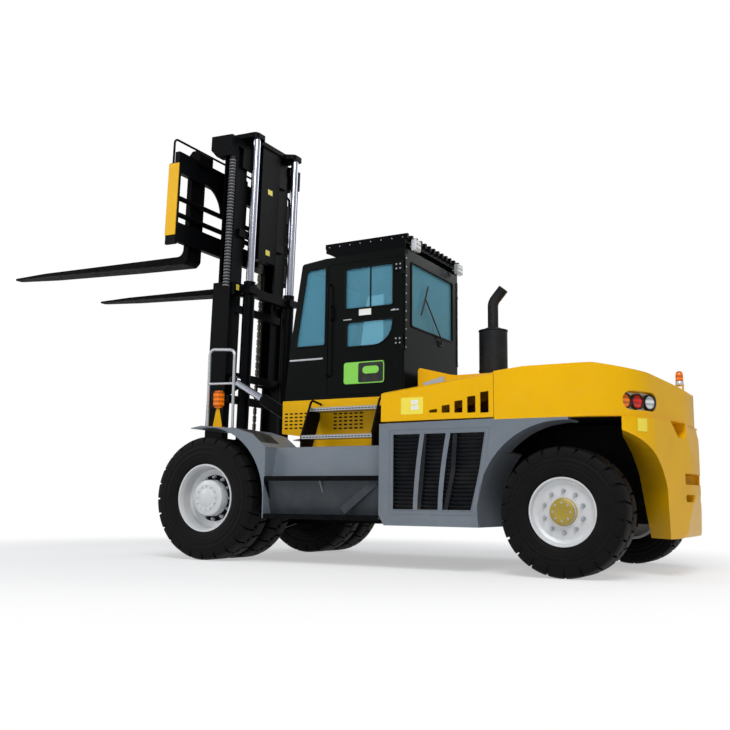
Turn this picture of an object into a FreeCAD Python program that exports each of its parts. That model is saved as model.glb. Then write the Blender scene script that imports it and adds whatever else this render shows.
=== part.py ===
"""Heavy counterbalance forklift truck with a raised two-stage mast.

The truck is drawn about its front axle: X forward, Y to the left, Z up, millimetres, ground at Z = 0.
Each piece is shifted at the end so that the origin is at the middle of the whole truck, on the ground.
"""
import FreeCAD
import Part
import math
import os

# ---------------------------------------------------------------- driving dimensions
WHEELBASE = 4115
REAR_OVERHANG = 930        # rear axle to the back of the counterweight
BODY_HALF = 1450           # half width over fenders, side boxes and counterweight
CLEAR = 5                  # gap between pieces that move past each other
SEAT = 0.3                 # gap between pieces that lie against each other
FIT = 0.05                 # running clearance on pins and shafts
SKIN = 8                   # sheet metal
PANE = 6                   # glass

# front wheels (twin) and rear wheels (single)
FRONT_TYRE_D = 1370
FRONT_TYRE_W = 375
TWIN_SPACING = 451
FRONT_OUTER = 1486         # outer face of the outer front tyre
FRONT_RIM_R = 385
REAR_TYRE_D = 1180
REAR_TYRE_W = 400
REAR_OUTER = 1519
REAR_RIM_R = 321
HUB_R = 88                 # front axle arm inside the twin rim

# steering
KINGPIN_Y = 1170
KINGPIN_R = 32
SPINDLE_R = 52

# mast, in coordinates about its pivot with Z along the channels
PIVOT_X = 330
PIVOT_Z = 560
PIVOT_R = 45
REST_TILT = 1.4            # degrees the mast leans back
MAST_BACK = 120            # rear face of the outer channel, ahead of the pivot
CHANNEL_DEPTH = 270
CHANNEL_T = 30
CHANNEL_OUT = 640          # half width over the outer mast
OUTER_BOTTOM = -300
OUTER_TOP = 2840
INNER_BOTTOM = -170        # inner mast, when lowered
INNER_TOP = 3055
RAISE = 1775               # how far the inner mast stands above its lowered place
LIFT_Y = 445
LIFT_X = -38
LIFT_BARREL_R = 75
LIFT_ROD_R = 50
LIFT_FOOT = 190            # shelf the lift barrels stand on
POST_HALF = 200            # half width of the inner mast's middle post
HOSE_X = 122
HOSE_Y = 720
HOSE_R = 42

# carriage and forks, when lowered
CARRIAGE_X = 500           # rear face of the carriage beams
BEAM_T = 70
CARRIAGE_HALF = 1300
CARRIAGE_BOTTOM = -300
CARRIAGE_TOP = 840
TUBE_ZS = (49, 259)        # fork positioner tubes
FORK_Y = 830
FORK_W = 260
FORK_T = 100
FORK_TIP_T = 22
FORK_TIP_X = 3850
FORK_TOP_Z = -410          # top of the blade

# tilt cylinders
TILT_Y = 620
TILT_FOOT = (-950, 1430)
TILT_EYE = (260, 2120)
TILT_BARREL_R = 70
TILT_ROD_R = 42
TILT_BARREL_L = 900
TILT_PIN_R = 35

# cab
CAB_HALF = 733
CAB_REAR = -2140
CAB_FLOOR_Z = 1820
CAB_FLOOR_TOP = 1858
SEAT_BOX_TOP = 2120
SEAT_BACK_FOOT = 2240
CAB_SILL = (-617, 2411)
CAB_HEAD = (-774, 3455)
CAB_NOSE = (-563, 1860)
CAB_TOP = 3490
ROOF_FRONT = -1100         # where the roof breaks down to the windscreen
GUARD_TOP = 3660
DOOR_FRONT = -1148
DOOR_REAR = -2118
DOOR_TOP = 3400
WALL = 40
HINGE_X = DOOR_REAR - 2
HINGE_Y = CAB_HALF + 16
HINGE_ZS = (2380, 3230)
HINGE_H = 110
HINGE_R = 14
HINGE_PIN_R = 7

# body behind the cab
BOX_TOP = 1460
BOX_BOTTOM = 430
BOX_INNER = 760
ARCH_R = 835               # wheel arch in the side box
GRILLE_TOP = 1335
GRILLE_LOW = 587
HOOD_FRONT_TOP = 1770      # side edge of the hood at the cab
HOOD_REAR_TOP = 1915       # and at the counterweight
HOOD_RISE = 60             # rise of the side hood from its outer edge to the spine
HOOD_EDGE = 600            # half width of the fixed spine between the side hoods
SPINE_TOP = 2030
SPINE_HIGH = 2140
RAIL_Y = 480
RAIL_T = 40
RAIL_TOP = 1290
ENGINE_Z = 640             # foot of the engine block
DECK_Z = 1245              # top of the deck over the step boards

# counterweight
BAND_LOW = 1450            # underside of its upper band
BAND_TOP = 1945
TAIL_BOW = 280             # how far its rear face bows out
CORNER_R = 600             # rounded rear corners in plan
FOOT_Z = 350
ARCH_IN = 500              # half width of its foot between the wheel arches
AXLE_ROOF_Z = 800          # plate the steer axle hangs from
LAMP_ANGLE = 57            # degrees from the side to the lamp pocket's face
LAMP_Z = 1600
LAMP_POCKET = 85
LAMP_R = 74
TOW_R = 30                 # tow pin hole
TOW_IN = 240               # tow pin hole from the rear face
TOW_SLOT_Z = 860           # floor of the tow bar slot

# ---------------------------------------------------------------- derived dimensions
FRONT_Z = FRONT_TYRE_D / 2
REAR_Z = REAR_TYRE_D / 2
REAR_X = -WHEELBASE
TAIL_X = REAR_X - REAR_OVERHANG
SEAM_X = REAR_X + REAR_Z + 65            # joint between hood and counterweight
BOX_FRONT = CAB_REAR - 80
BAY_FRONT = BOX_FRONT - 20
CHANNEL_IN_BACK = MAST_BACK + CHANNEL_T
CHANNEL_IN_FRONT = MAST_BACK + CHANNEL_DEPTH - CHANNEL_T
FENDER_IN = CHANNEL_OUT + 25
BASE_OUT = CAB_HALF + 12                 # outer face of the panels under the cab
FENDER_R = FRONT_Z + 105
CAB_LEAN = (CAB_HEAD[0] - CAB_SILL[0]) / (CAB_HEAD[1] - CAB_SILL[1])
TILT = math.radians(REST_TILT)
TIP_Z = 2 * RAISE + FORK_TOP_Z - FORK_TIP_T
TIP_X = PIVOT_X + FORK_TIP_X * math.cos(TILT) - TIP_Z * math.sin(TILT)
ORIGIN_X = round((TIP_X + TAIL_X) / 2)

os.makedirs("parts", exist_ok=True)
Y_AXIS = FreeCAD.Vector(0, 1, 0)
Z_AXIS = FreeCAD.Vector(0, 0, 1)


# ---------------------------------------------------------------- helpers
def vec(x, y, z):
    return FreeCAD.Vector(x, y, z)


def box(x0, x1, y0, y1, z0, z1):
    low = vec(min(x0, x1), min(y0, y1), min(z0, z1))
    return Part.makeBox(abs(x1 - x0), abs(y1 - y0), abs(z1 - z0), low)


def rod(start, end, radius):
    a, b = vec(*start), vec(*end)
    return Part.makeCylinder(radius, (b - a).Length, a, b - a)


def post(x, y, z0, z1, radius):
    return Part.makeCylinder(radius, z1 - z0, vec(x, y, z0))


def rounded(points, place):
    """Closed wire through (u, v) or (u, v, corner radius) points; place turns (u, v) into a vector."""
    edges = []
    ends = []
    count = len(points)
    for i in range(count):
        before = place(*points[i - 1][:2])
        here = place(*points[i][:2])
        after = place(*points[(i + 1) % count][:2])
        radius = points[i][2] if len(points[i]) > 2 else 0
        if radius <= 0:
            ends.append((here, here, None))
            continue
        to_before = (before - here).normalize()
        to_after = (after - here).normalize()
        half = to_before.getAngle(to_after) / 2
        reach = radius / math.tan(half)
        middle = (to_before + to_after).normalize()
        top = here + middle * (radius / math.sin(half) - radius)
        ends.append((here + to_before * reach, here + to_after * reach, top))
    for i in range(count):
        arrive, leave, top = ends[i]
        if top is not None:
            edges.append(Part.Arc(arrive, top, leave).toShape())
        start_next = ends[(i + 1) % count][0]
        if (start_next - leave).Length > 1e-6:
            edges.append(Part.makeLine(leave, start_next))
    return Part.Wire(edges)


def prism_y(points, y0, y1):
    """Side outline in X and Z, carried from y0 to y1."""
    wire = rounded(points, lambda x, z: vec(x, y0, z))
    return Part.Face(wire).extrude(vec(0, y1 - y0, 0))


def prism_z(points, z0, z1):
    """Plan outline in X and Y, carried from z0 to z1."""
    wire = rounded(points, lambda x, y: vec(x, y, z0))
    return Part.Face(wire).extrude(vec(0, 0, z1 - z0))


def prism_x(points, x0, x1):
    """Cross section in Y and Z, carried from x0 to x1."""
    wire = rounded(points, lambda y, z: vec(x0, y, z))
    return Part.Face(wire).extrude(vec(x1 - x0, 0, 0))


def pane(points, y0):
    """Glass that fills a side window opening with a seating gap all round."""
    wire = rounded(points, lambda x, z: vec(x, y0, z))
    return Part.Face(wire).makeOffset2D(-SEAT).extrude(vec(0, PANE, 0))


def turned(points, x, z):
    """Solid of revolution about the Y line through (x, z), from (radius, y) points."""
    wire = rounded(points, lambda r, y: vec(x + r, y, z))
    return Part.Face(wire).revolve(vec(x, 0, z), Y_AXIS, 360)


def turned_z(points, x, y):
    """Solid of revolution about the upright line through (x, y), from (radius, z) points."""
    wire = rounded(points, lambda r, z: vec(x + r, y, z))
    return Part.Face(wire).revolve(vec(x, y, 0), Z_AXIS, 360)


def bar(path, radius):
    """Round bar along points (x, y, z, bend radius)."""
    edges = []
    at = vec(*path[0][:3])
    for i in range(1, len(path) - 1):
        here = vec(*path[i][:3])
        back = (at - here).normalize()
        ahead = (vec(*path[i + 1][:3]) - here).normalize()
        half = back.getAngle(ahead) / 2
        reach = path[i][3] / math.tan(half)
        middle = (back + ahead).normalize()
        first = here + back * reach
        last = here + ahead * reach
        top = here + middle * (path[i][3] / math.sin(half) - path[i][3])
        edges.append(Part.makeLine(at, first))
        edges.append(Part.Arc(first, top, last).toShape())
        at = last
    edges.append(Part.makeLine(at, vec(*path[-1][:3])))
    start = vec(*path[0][:3])
    ahead = (vec(*path[1][:3]) - start).normalize()
    ring = Part.Wire([Part.makeCircle(radius, start, ahead)])
    return Part.Wire(edges).makePipeShell([ring], True, False)


def join(shapes):
    first = shapes[0]
    if len(shapes) == 1:
        return first
    return first.multiFuse(shapes[1:]).removeSplitter()


def without(shape, cutters):
    for cutter in cutters:
        shape = shape.cut(cutter)
    return shape


def mirrored(shape):
    return shape.mirror(vec(0, 0, 0), Y_AXIS)


def both(shape):
    return [shape, mirrored(shape)]


def together(shapes):
    return Part.makeCompound(shapes)


def bay(share):
    """X at a share of the engine bay, from the cab (0) to the counterweight (1)."""
    return BOX_FRONT + share * (SEAM_X - BOX_FRONT)


def on_mast(shape, raised=0):
    """From mast coordinates (about the tilt pivot, Z along the channels) to the truck's."""
    shape = shape.copy()
    shape.translate(vec(0, 0, raised))
    shape.rotate(vec(0, 0, 0), Y_AXIS, -REST_TILT)
    shape.translate(vec(PIVOT_X, 0, PIVOT_Z))
    return shape


def save(name, shape):
    shape = shape.copy()
    shape.translate(vec(-ORIGIN_X, 0, 0))
    shape.exportStep("parts/" + name + ".step")


# ---------------------------------------------------------------- wheels
def tyre(x, z, diameter, width, rim_r, outer):
    """Pneumatic tyre from its beads to a flat tread with rounded shoulders."""
    radius = diameter / 2
    shoulder = width * 0.14
    bead = rim_r - SKIN
    belly = rim_r + 40
    return turned(
        [
            (bead, outer - width * 0.12, 12),
            (belly, outer - width * 0.02, 30),
            (radius - shoulder, outer, 40),
            (radius, outer - shoulder, 24),
            (radius, outer - width + shoulder, 24),
            (radius - shoulder, outer - width, 40),
            (belly, outer - width * 0.98, 30),
            (bead, outer - width * 0.88, 12),
        ],
        x,
        z,
    )


def front_tyres():
    faces = (FRONT_OUTER, FRONT_OUTER - TWIN_SPACING)
    return together([tyre(0, FRONT_Z, FRONT_TYRE_D, FRONT_TYRE_W, FRONT_RIM_R, face) for face in faces])


def front_rim():
    """Twin rim with its dished disc and planetary hub, in one turned piece."""
    hole = 0.12 * FRONT_TYRE_W
    face = FRONT_OUTER - hole
    back = FRONT_OUTER - TWIN_SPACING - FRONT_TYRE_W + hole
    r = FRONT_RIM_R - SKIN
    hub_r = 200
    hub_bore = HUB_R + FIT
    return turned(
        [
            (r, face + 16),
            (r - 18, face + 16, 6),
            (r - 34, face - 30, 10),
            (r - 46, face - 150, 30),
            (hub_r + 50, face - 172, 10),
            (hub_r + 5, face - 150, 8),
            (hub_r, face - 40, 12),
            (hub_r - 50, face - 22, 8),
            (0, face - 22),
            (0, face - 60),
            (hub_bore, face - 60),
            (hub_bore, back + 120),
            (hub_r, back + 120),
            (hub_r, face - 210, 10),
            (r - 60, face - 190, 20),
            (r - 60, back),
            (r, back),
        ],
        0,
        FRONT_Z,
    )


def rear_rim():
    """Single rim: shallow disc and a hub that turns on the spindle."""
    hole = 0.12 * REAR_TYRE_W
    face = REAR_OUTER - hole
    back = REAR_OUTER - REAR_TYRE_W + hole
    r = REAR_RIM_R - SKIN
    cap_r = 112
    bore = SPINDLE_R + FIT
    hub_in = KINGPIN_Y + 85
    return turned(
        [
            (r, face + 14),
            (r - 16, face + 14, 6),
            (r - 30, face - 26, 8),
            (r - 60, face - 44, 10),
            (cap_r + 38, face - 36, 10),
            (cap_r + 6, face - 36),
            (cap_r, face + 26, 8),
            (0, face + 26),
            (0, face + 4),
            (bore, face + 4),
            (bore, hub_in),
            (cap_r + 3, hub_in),
            (cap_r + 8, face - 66, 10),
            (r - 28, face - 80, 14),
            (r - 28, back),
            (r, back),
        ],
        REAR_X,
        REAR_Z,
    )


# ---------------------------------------------------------------- axles
def front_axle():
    """Drive axle housing: bowl in the middle, arms that carry the twin wheels."""
    arm_end = FRONT_OUTER - 0.12 * FRONT_TYRE_W - 75
    tube_r = 130
    bowl_r = 235
    half = [
        (bowl_r, 200, 80),
        (tube_r, 330, 60),
        (tube_r, 560, 20),
        (HUB_R, 600),
        (HUB_R, arm_end),
        (0, arm_end),
    ]
    other = [(p[0], -p[1]) + p[2:] for p in reversed(half)]
    shapes = [turned(other + half, 0, FRONT_Z)]
    for side in (1, -1):
        y = side * RAIL_Y
        shapes.append(box(-110, 110, y - RAIL_T / 2, y + RAIL_T / 2, FRONT_Z + 60, FRONT_Z + 200 - SEAT))
    return join(shapes)


def steer_axle():
    """Beam with forked ends that hold the kingpins."""
    ear_z = 170
    half = [
        (620, REAR_Z + 90, 60),
        (820, REAR_Z + ear_z, 60),
        (1040, REAR_Z + ear_z, 30),
        (1040, REAR_Z - ear_z, 30),
        (820, REAR_Z - ear_z, 60),
        (620, REAR_Z - 110, 60),
    ]
    other = [(-p[0],) + p[1:] for p in reversed(half)]
    shapes = [prism_x(half + other, REAR_X - 90, REAR_X + 90)]
    ear_t = 38
    for side in (1, -1):
        y = side * KINGPIN_Y
        for z in (REAR_Z + ear_z - ear_t, REAR_Z - ear_z):
            shapes.append(post(REAR_X, y, z, z + ear_t, 70))
            shapes.append(box(REAR_X - 70, REAR_X + 70, side * 1000, y, z, z + ear_t))
    shape = join(shapes)
    bores = [post(REAR_X, s * KINGPIN_Y, REAR_Z - 250, REAR_Z + 250, KINGPIN_R + FIT) for s in (1, -1)]
    trunnion = box(REAR_X - 85, REAR_X + 85, -110, 110, REAR_Z + 80, AXLE_ROOF_Z - SEAT)
    return join([without(shape, bores), trunnion])


def steer_knuckle():
    """Knuckle with its kingpin and the spindle that carries the wheel."""
    face = REAR_OUTER - 0.12 * REAR_TYRE_W
    body = box(REAR_X - 75, REAR_X + 75, KINGPIN_Y - 60, KINGPIN_Y + 60, REAR_Z - 120, REAR_Z + 120)
    pin = post(REAR_X, KINGPIN_Y, REAR_Z - 176, REAR_Z + 176, KINGPIN_R)
    spindle = rod((REAR_X, KINGPIN_Y + 50, REAR_Z), (REAR_X, face - 6, REAR_Z), SPINDLE_R)
    collar = rod((REAR_X, KINGPIN_Y + 50, REAR_Z), (REAR_X, KINGPIN_Y + 75, REAR_Z), 90)
    return join([body, pin, spindle, collar])


# ---------------------------------------------------------------- chassis
def rail():
    """Side rail: mast lug in front, drop under the steer axle's roof plate at the back."""
    tail = ARCH_FOOT_X + SEAT
    axle_room = 330
    outline = [
        (PIVOT_X + 62, PIVOT_Z - 62, 60),
        (PIVOT_X + 62, PIVOT_Z + 62, 60),
        (180, 660, 60),
        (150, 940, 60),
        (-380, RAIL_TOP, 60),
        (SEAM_X + 60, RAIL_TOP),
        (SEAM_X, BAND_LOW - SEAT - 6),
        (tail, BAND_LOW - SEAT - 6),
        (tail, 480),
        (REAR_X - axle_room - 90, 480, 40),
        (REAR_X - axle_room, AXLE_ROOF_Z, 40),
        (REAR_X + axle_room, AXLE_ROOF_Z, 40),
        (REAR_X + axle_room + 90, 480, 60),
        (-600, 400),
        (-300, 300, 60),
        (150, 300, 60),
    ]
    plate = prism_y(outline, RAIL_Y - RAIL_T / 2, RAIL_Y + RAIL_T / 2)
    gap = 110 + SEAT
    axle_gap = box(-gap, gap, RAIL_Y - RAIL_T, RAIL_Y + RAIL_T, FRONT_Z, FRONT_Z + 200)
    axle_hole = rod((0, RAIL_Y - RAIL_T, FRONT_Z), (0, RAIL_Y + RAIL_T, FRONT_Z), 135)
    return without(plate, [axle_gap, axle_hole])


def frame():
    """Two side rails, cross members, the lugs the mast turns on and the plates of the tail."""
    pin = rod((PIVOT_X, RAIL_Y, PIVOT_Z), (PIVOT_X, CHANNEL_OUT - 12, PIVOT_Z), PIVOT_R - FIT)
    foot_x, foot_z = TILT_FOOT
    foot_pin = rod((foot_x, RAIL_Y, foot_z), (foot_x, TILT_Y + 40, foot_z), TILT_PIN_R)
    lug = [
        (foot_x - 150, RAIL_TOP - 40),
        (foot_x - 70, foot_z + 70, 60),
        (foot_x + 70, foot_z + 70, 60),
        (foot_x + 150, RAIL_TOP - 40),
    ]
    foot_lug = prism_y(lug, RAIL_Y - RAIL_T / 2, RAIL_Y + RAIL_T / 2)
    sides = both(join([rail(), pin, foot_pin, foot_lug]))
    inner = RAIL_Y - RAIL_T / 2
    floor = 420
    floor_t = 16
    front_rest, rear_rest = bay(0.16), bay(0.82)
    cross = [
        box(-1500, -1380, -inner, inner, floor, 1200),
        box(SEAM_X, SEAM_X + 30, -inner, inner, 480, RAIL_TOP),
        box(front_rest, front_rest + 50, -inner, inner, floor, ENGINE_Z - SEAT),
        box(rear_rest, rear_rest + 50, -inner, inner, floor, ENGINE_Z - SEAT),
        box(-560, -520, -inner, inner, floor, 1000),
        box(BOX_FRONT - 40, BOX_FRONT + 20, -inner, inner, floor, 700),
        box(SEAM_X + 70, -560, -inner, inner, floor, floor + floor_t),
        box(REAR_X - 300, REAR_X + 300, -inner, inner, AXLE_ROOF_Z, AXLE_ROOF_Z + 30),
    ]
    outriggers = []
    for x in (front_rest, rear_rest):
        outriggers.extend(both(box(x, x + 60, RAIL_Y, BOX_INNER - SEAT, 600, 760)))
    return join(sides + cross + outriggers + [arch_liner()])


def arch_liner():
    """Plate under the counterweight's band, between the wheel arches."""
    top = BAND_LOW - SEAT
    notch = BOX_ARCH_IN - CLEAR
    half = [
        (SEAM_X, notch),
        (BOX_TIP_X - CLEAR, notch),
        (BOX_TIP_X - CLEAR, BODY_HALF - 70),
        (arch_front(BODY_HALF - 150) + CLEAR, BODY_HALF - 150),
        (arch_front(ARCH_IN) + CLEAR, ARCH_IN),
    ]
    other = [(x, -y) for x, y in reversed(half)]
    return prism_z(half + other, top - 12, top)


def engine():
    return box(bay(0.895), bay(0.09), -400, 400, ENGINE_Z, RAIL_TOP + 110)


# ---------------------------------------------------------------- fenders and steps
FENDER_LINE = [(-FENDER_R - 12, DECK_Z), (-620, 1392), (-400, 1456), (90, 1499), (240, 1478)]
STEP_Z = 912               # upper step board
TREAD_Z = 512              # lower step board


def fender_top(x):
    """Height of the fender's top face."""
    for (x0, z0), (x1, z1) in zip(FENDER_LINE, FENDER_LINE[1:]):
        if x0 <= x <= x1:
            return z0 + (z1 - z0) * (x - x0) / (x1 - x0)
    raise ValueError("x is not over the fender")


def fender():
    """Arched guard over the twin tyres: sheet arch, top and an outer side plate."""
    skin = 10
    low_z = TREAD_Z - 37
    inner_y = FENDER_IN
    reach = math.sqrt(0.5) * FENDER_R
    nose = FENDER_LINE[-1]
    crest = FENDER_LINE[-2]

    def outline(shift):
        r = FENDER_R + shift
        top = vec(0, inner_y, FRONT_Z + r)
        side = vec(-r, inner_y, FRONT_Z)
        middle = vec(-r * math.sqrt(0.5), inner_y, FRONT_Z + r * math.sqrt(0.5))
        front = vec(nose[0], inner_y, nose[1] - skin + shift)
        high = vec(crest[0], inner_y, crest[1] - skin + shift)
        return [
            Part.makeLine(front, high),
            Part.makeLine(high, top),
            Part.Arc(top, middle, side).toShape(),
            Part.makeLine(side, vec(-r, inner_y, low_z)),
        ]

    low, high = outline(0), outline(skin)
    foot = Part.makeLine(vec(-FENDER_R, inner_y, low_z), vec(-FENDER_R - skin, inner_y, low_z))
    lip = Part.makeLine(vec(nose[0], inner_y, nose[1]), vec(nose[0], inner_y, nose[1] - skin))
    arch = Part.Face(Part.Wire(low + [foot] + list(reversed(high)) + [lip]))
    arch = arch.extrude(vec(0, BODY_HALF - inner_y, 0))
    rear_x = FENDER_LINE[0][0]
    cheek_line = list(reversed(FENDER_LINE)) + [
        (rear_x, low_z),
        (-FENDER_R, low_z),
        (-FENDER_R, FRONT_Z),
        (-reach, FRONT_Z + reach),
        (0, nose[1] - SKIN),
        (nose[0], nose[1] - SKIN),
    ]
    under = [(x, z - skin) for x, z in reversed(FENDER_LINE[:-1])]
    top = prism_y(FENDER_LINE[:-1] + under, CAB_HALF + 30, BODY_HALF)
    plates = []
    for y0, y1 in ((BODY_HALF - skin, BODY_HALF), (CAB_HALF + 30, CAB_HALF + 40)):
        wheel = rod((0, y0 - 10, FRONT_Z), (0, y1 + 10, FRONT_Z), FENDER_R + 1)
        plates.append(prism_y(cheek_line, y0, y1).cut(wheel))
    return join([arch, top] + plates)


def step_box():
    """Deck beside the cab, sloping panel, upper board, recessed riser and lower board."""
    x_front, x_rear = -FENDER_R - 9, BOX_FRONT + SEAT
    rail_face = RAIL_Y + RAIL_T / 2 + SEAT
    edge = BODY_HALF - 5
    board_t = 28
    panel_y = BODY_HALF - 150
    toe_y = BODY_HALF - 240
    t = 14
    section = [
        (rail_face, DECK_Z),
        (panel_y - 70, DECK_Z, 20),
        (panel_y, STEP_Z),
        (edge, STEP_Z, 6),
        (edge, STEP_Z - board_t, 6),
        (panel_y + t, STEP_Z - board_t),
        (toe_y + t, TREAD_Z),
        (edge, TREAD_Z, 6),
        (edge, TREAD_Z - board_t, 6),
        (toe_y - 6, TREAD_Z - board_t),
        (panel_y - t, STEP_Z - board_t - 10),
        (panel_y - 70 - t, DECK_Z - t),
        (rail_face, DECK_Z - t),
    ]
    shapes = [prism_x(section, x_rear, x_front)]
    rib = [
        (rail_face + 60, DECK_Z - 10),
        (panel_y - 75, DECK_Z - 10),
        (panel_y - 4, STEP_Z - 6),
        (edge - 6, STEP_Z - board_t + 2),
        (toe_y + 10, TREAD_Z - 10),
        (toe_y - 200, TREAD_Z - 20),
        (rail_face + 60, STEP_Z),
    ]
    rib_t = 12
    for x in (x_front - rib_t, (x_front + x_rear) / 2, x_rear):
        shapes.append(prism_x(rib, x, x + rib_t))
    return join(shapes)


STEP_TREADS = ((CAB_HALF + 277, 1345), (CAB_HALF + 127, 1665))      # middle Y and underside Z
STEP_ENDS = (-1950, -1065)
TREAD_T = 30
TREAD_HALF = 110


def steps():
    """Bright access treads beside the cab base."""
    rear, front = STEP_ENDS
    return [box(rear, front, y - TREAD_HALF, y + TREAD_HALF, z, z + TREAD_T) for y, z in STEP_TREADS]


def step_brackets():
    """Side plates that carry the treads off the deck."""
    (low_y, low_z), (high_y, high_z) = STEP_TREADS
    outline = [
        (BASE_OUT + SEAT, high_z + TREAD_T),
        (high_y + TREAD_HALF, high_z + TREAD_T, 20),
        (low_y + TREAD_HALF, low_z + TREAD_T, 40),
        (low_y + TREAD_HALF, DECK_Z + SEAT),
        (low_y - TREAD_HALF, DECK_Z + SEAT),
        (BASE_OUT + SEAT, high_z - 60),
    ]
    t = 20
    plates = []
    for x in (STEP_ENDS[0] - t - SEAT, STEP_ENDS[1] + SEAT):
        plates.append(prism_x(outline, x, x + t))
    return plates


# ---------------------------------------------------------------- side boxes, grilles, hoods
BOX_ARCH_IN = 1100         # inner edge of the side box's tail over the rear wheel
BOX_TIP_X = REAR_X - 60    # its rear tip
BOX_REAR = REAR_X + 725    # its rear wall at the foot


def side_box():
    """Grey box over the radiator: grille opening, and a tail that arches over the rear wheel."""
    tail_top = BAND_LOW - SEAT
    outline = [
        (BOX_FRONT, BOX_BOTTOM + 101),
        (BOX_FRONT, BOX_TOP - 15),
        (SEAM_X + SEAT, BOX_TOP),
        (SEAM_X + SEAT, tail_top),
        (BOX_REAR, tail_top),
        (BOX_REAR - 100, REAR_Z + 550),
        (BOX_REAR - 50, REAR_Z + 390, 200),
        (BOX_REAR - 13, REAR_Z + 137, 200),
        (BOX_REAR, BOX_BOTTOM),
        (BOX_FRONT - 60, BOX_BOTTOM),
    ]
    body = prism_y(outline, BOX_INNER, BODY_HALF)
    tail = box(BOX_REAR, BOX_TIP_X, BOX_ARCH_IN, BODY_HALF, REAR_Z + 560, tail_top)
    wheel = rod((REAR_X, 0, REAR_Z), (REAR_X, 2 * BODY_HALF, REAR_Z), ARCH_R)
    outer = join([body, tail]).cut(wheel)
    room_rear = BOX_REAR + 30
    out = BODY_HALF - SKIN
    room = box(BOX_FRONT - SKIN, room_rear, BOX_INNER + SKIN, out, BOX_BOTTOM + SKIN, BOX_TOP - 30)
    tail_room = box(room_rear + 1, BOX_TIP_X + SKIN, BOX_INNER, out, REAR_Z + 570, tail_top - SKIN)
    tail_room = tail_room.cut(rod((REAR_X, 0, REAR_Z), (REAR_X, 2 * BODY_HALF, REAR_Z), ARCH_R + SKIN))
    room = room.cut(rod((REAR_X, 0, REAR_Z), (REAR_X, 2 * BODY_HALF, REAR_Z), ARCH_R + SKIN))
    opening = prism_y(grille_outline(0), BODY_HALF - 20, BODY_HALF + 20)
    return without(outer, [room, tail_room, opening])


def grille_outline(margin):
    """Opening that narrows downwards, with a curved rear edge."""
    return [
        (bay(0.129) - margin, GRILLE_LOW + margin, 20),
        (bay(0.129) - margin, GRILLE_TOP - margin, 20),
        (bay(0.927) + margin, GRILLE_TOP - margin, 20),
        (bay(0.879) + margin, (GRILLE_LOW + GRILLE_TOP) / 2, 300),
        (bay(0.806) + margin, GRILLE_LOW + margin, 20),
    ]


def grille():
    """Louvre blades between two curved bars, on a closed core."""
    field_y = BODY_HALF - 60
    y = BODY_HALF - 14
    blades = []
    count = 18
    pitch = (GRILLE_TOP - GRILLE_LOW - 50) / count
    for i in range(count):
        z = GRILLE_LOW + 33 + pitch * i
        blade = [(y, z), (y + 4, z), (y - 26, z + 24), (y - 30, z + 24)]
        blades.append(prism_x(blade, bay(0.935), bay(0.125)))
    field = prism_y(grille_outline(SEAT), field_y, BODY_HALF)
    core = prism_y(grille_outline(SEAT), field_y, field_y + 14)
    high, foot = GRILLE_TOP - SEAT, GRILLE_LOW + SEAT
    middle = (high + foot) / 2
    w = 45
    bars = []
    for top, low in ((bay(0.391), bay(0.339)), (bay(0.657), bay(0.573))):
        outline = [
            (top, high),
            (top - w, high),
            (top - 20, middle, 300),
            (low - w, foot),
            (low, foot),
            (top + 25, middle, 300),
        ]
        bars.append(prism_y(outline, field_y + 13, BODY_HALF - 2))
    louvres = together(blades).common(field)
    return join([core] + louvres.Solids + bars)


def hood_top(x):
    """Height of the hood's side edge: it rises towards the back."""
    share = (BAY_FRONT - x) / (BAY_FRONT - SEAM_X)
    return HOOD_FRONT_TOP + (HOOD_REAR_TOP - HOOD_FRONT_TOP) * share


HOOD_HINGES = (bay(0.226), bay(0.79))
HOOD_PIN_R = 7
HOOD_KNUCKLE_R = 14
HOOD_KNUCKLE_L = 60


def hood_axis(x):
    """Point on the side hood's hinge line."""
    return (x, HOOD_EDGE, hood_top(x) + HOOD_RISE + 15)


def hood_slot(i):
    """One of five slots in the side hood, taller towards the back."""
    front = bay(0.451 + 0.109 * i)
    rear = bay(0.451 + 0.109 * i + 0.07)
    low = BOX_TOP + 78 - 5 * i
    top = BOX_TOP + 106 + 38 * i
    outline = [(front, low, 8), (front, top, 8), (rear, top + 8, 8), (rear, low, 8)]
    return prism_y(outline, BODY_HALF - 20, BODY_HALF + 5)


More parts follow.
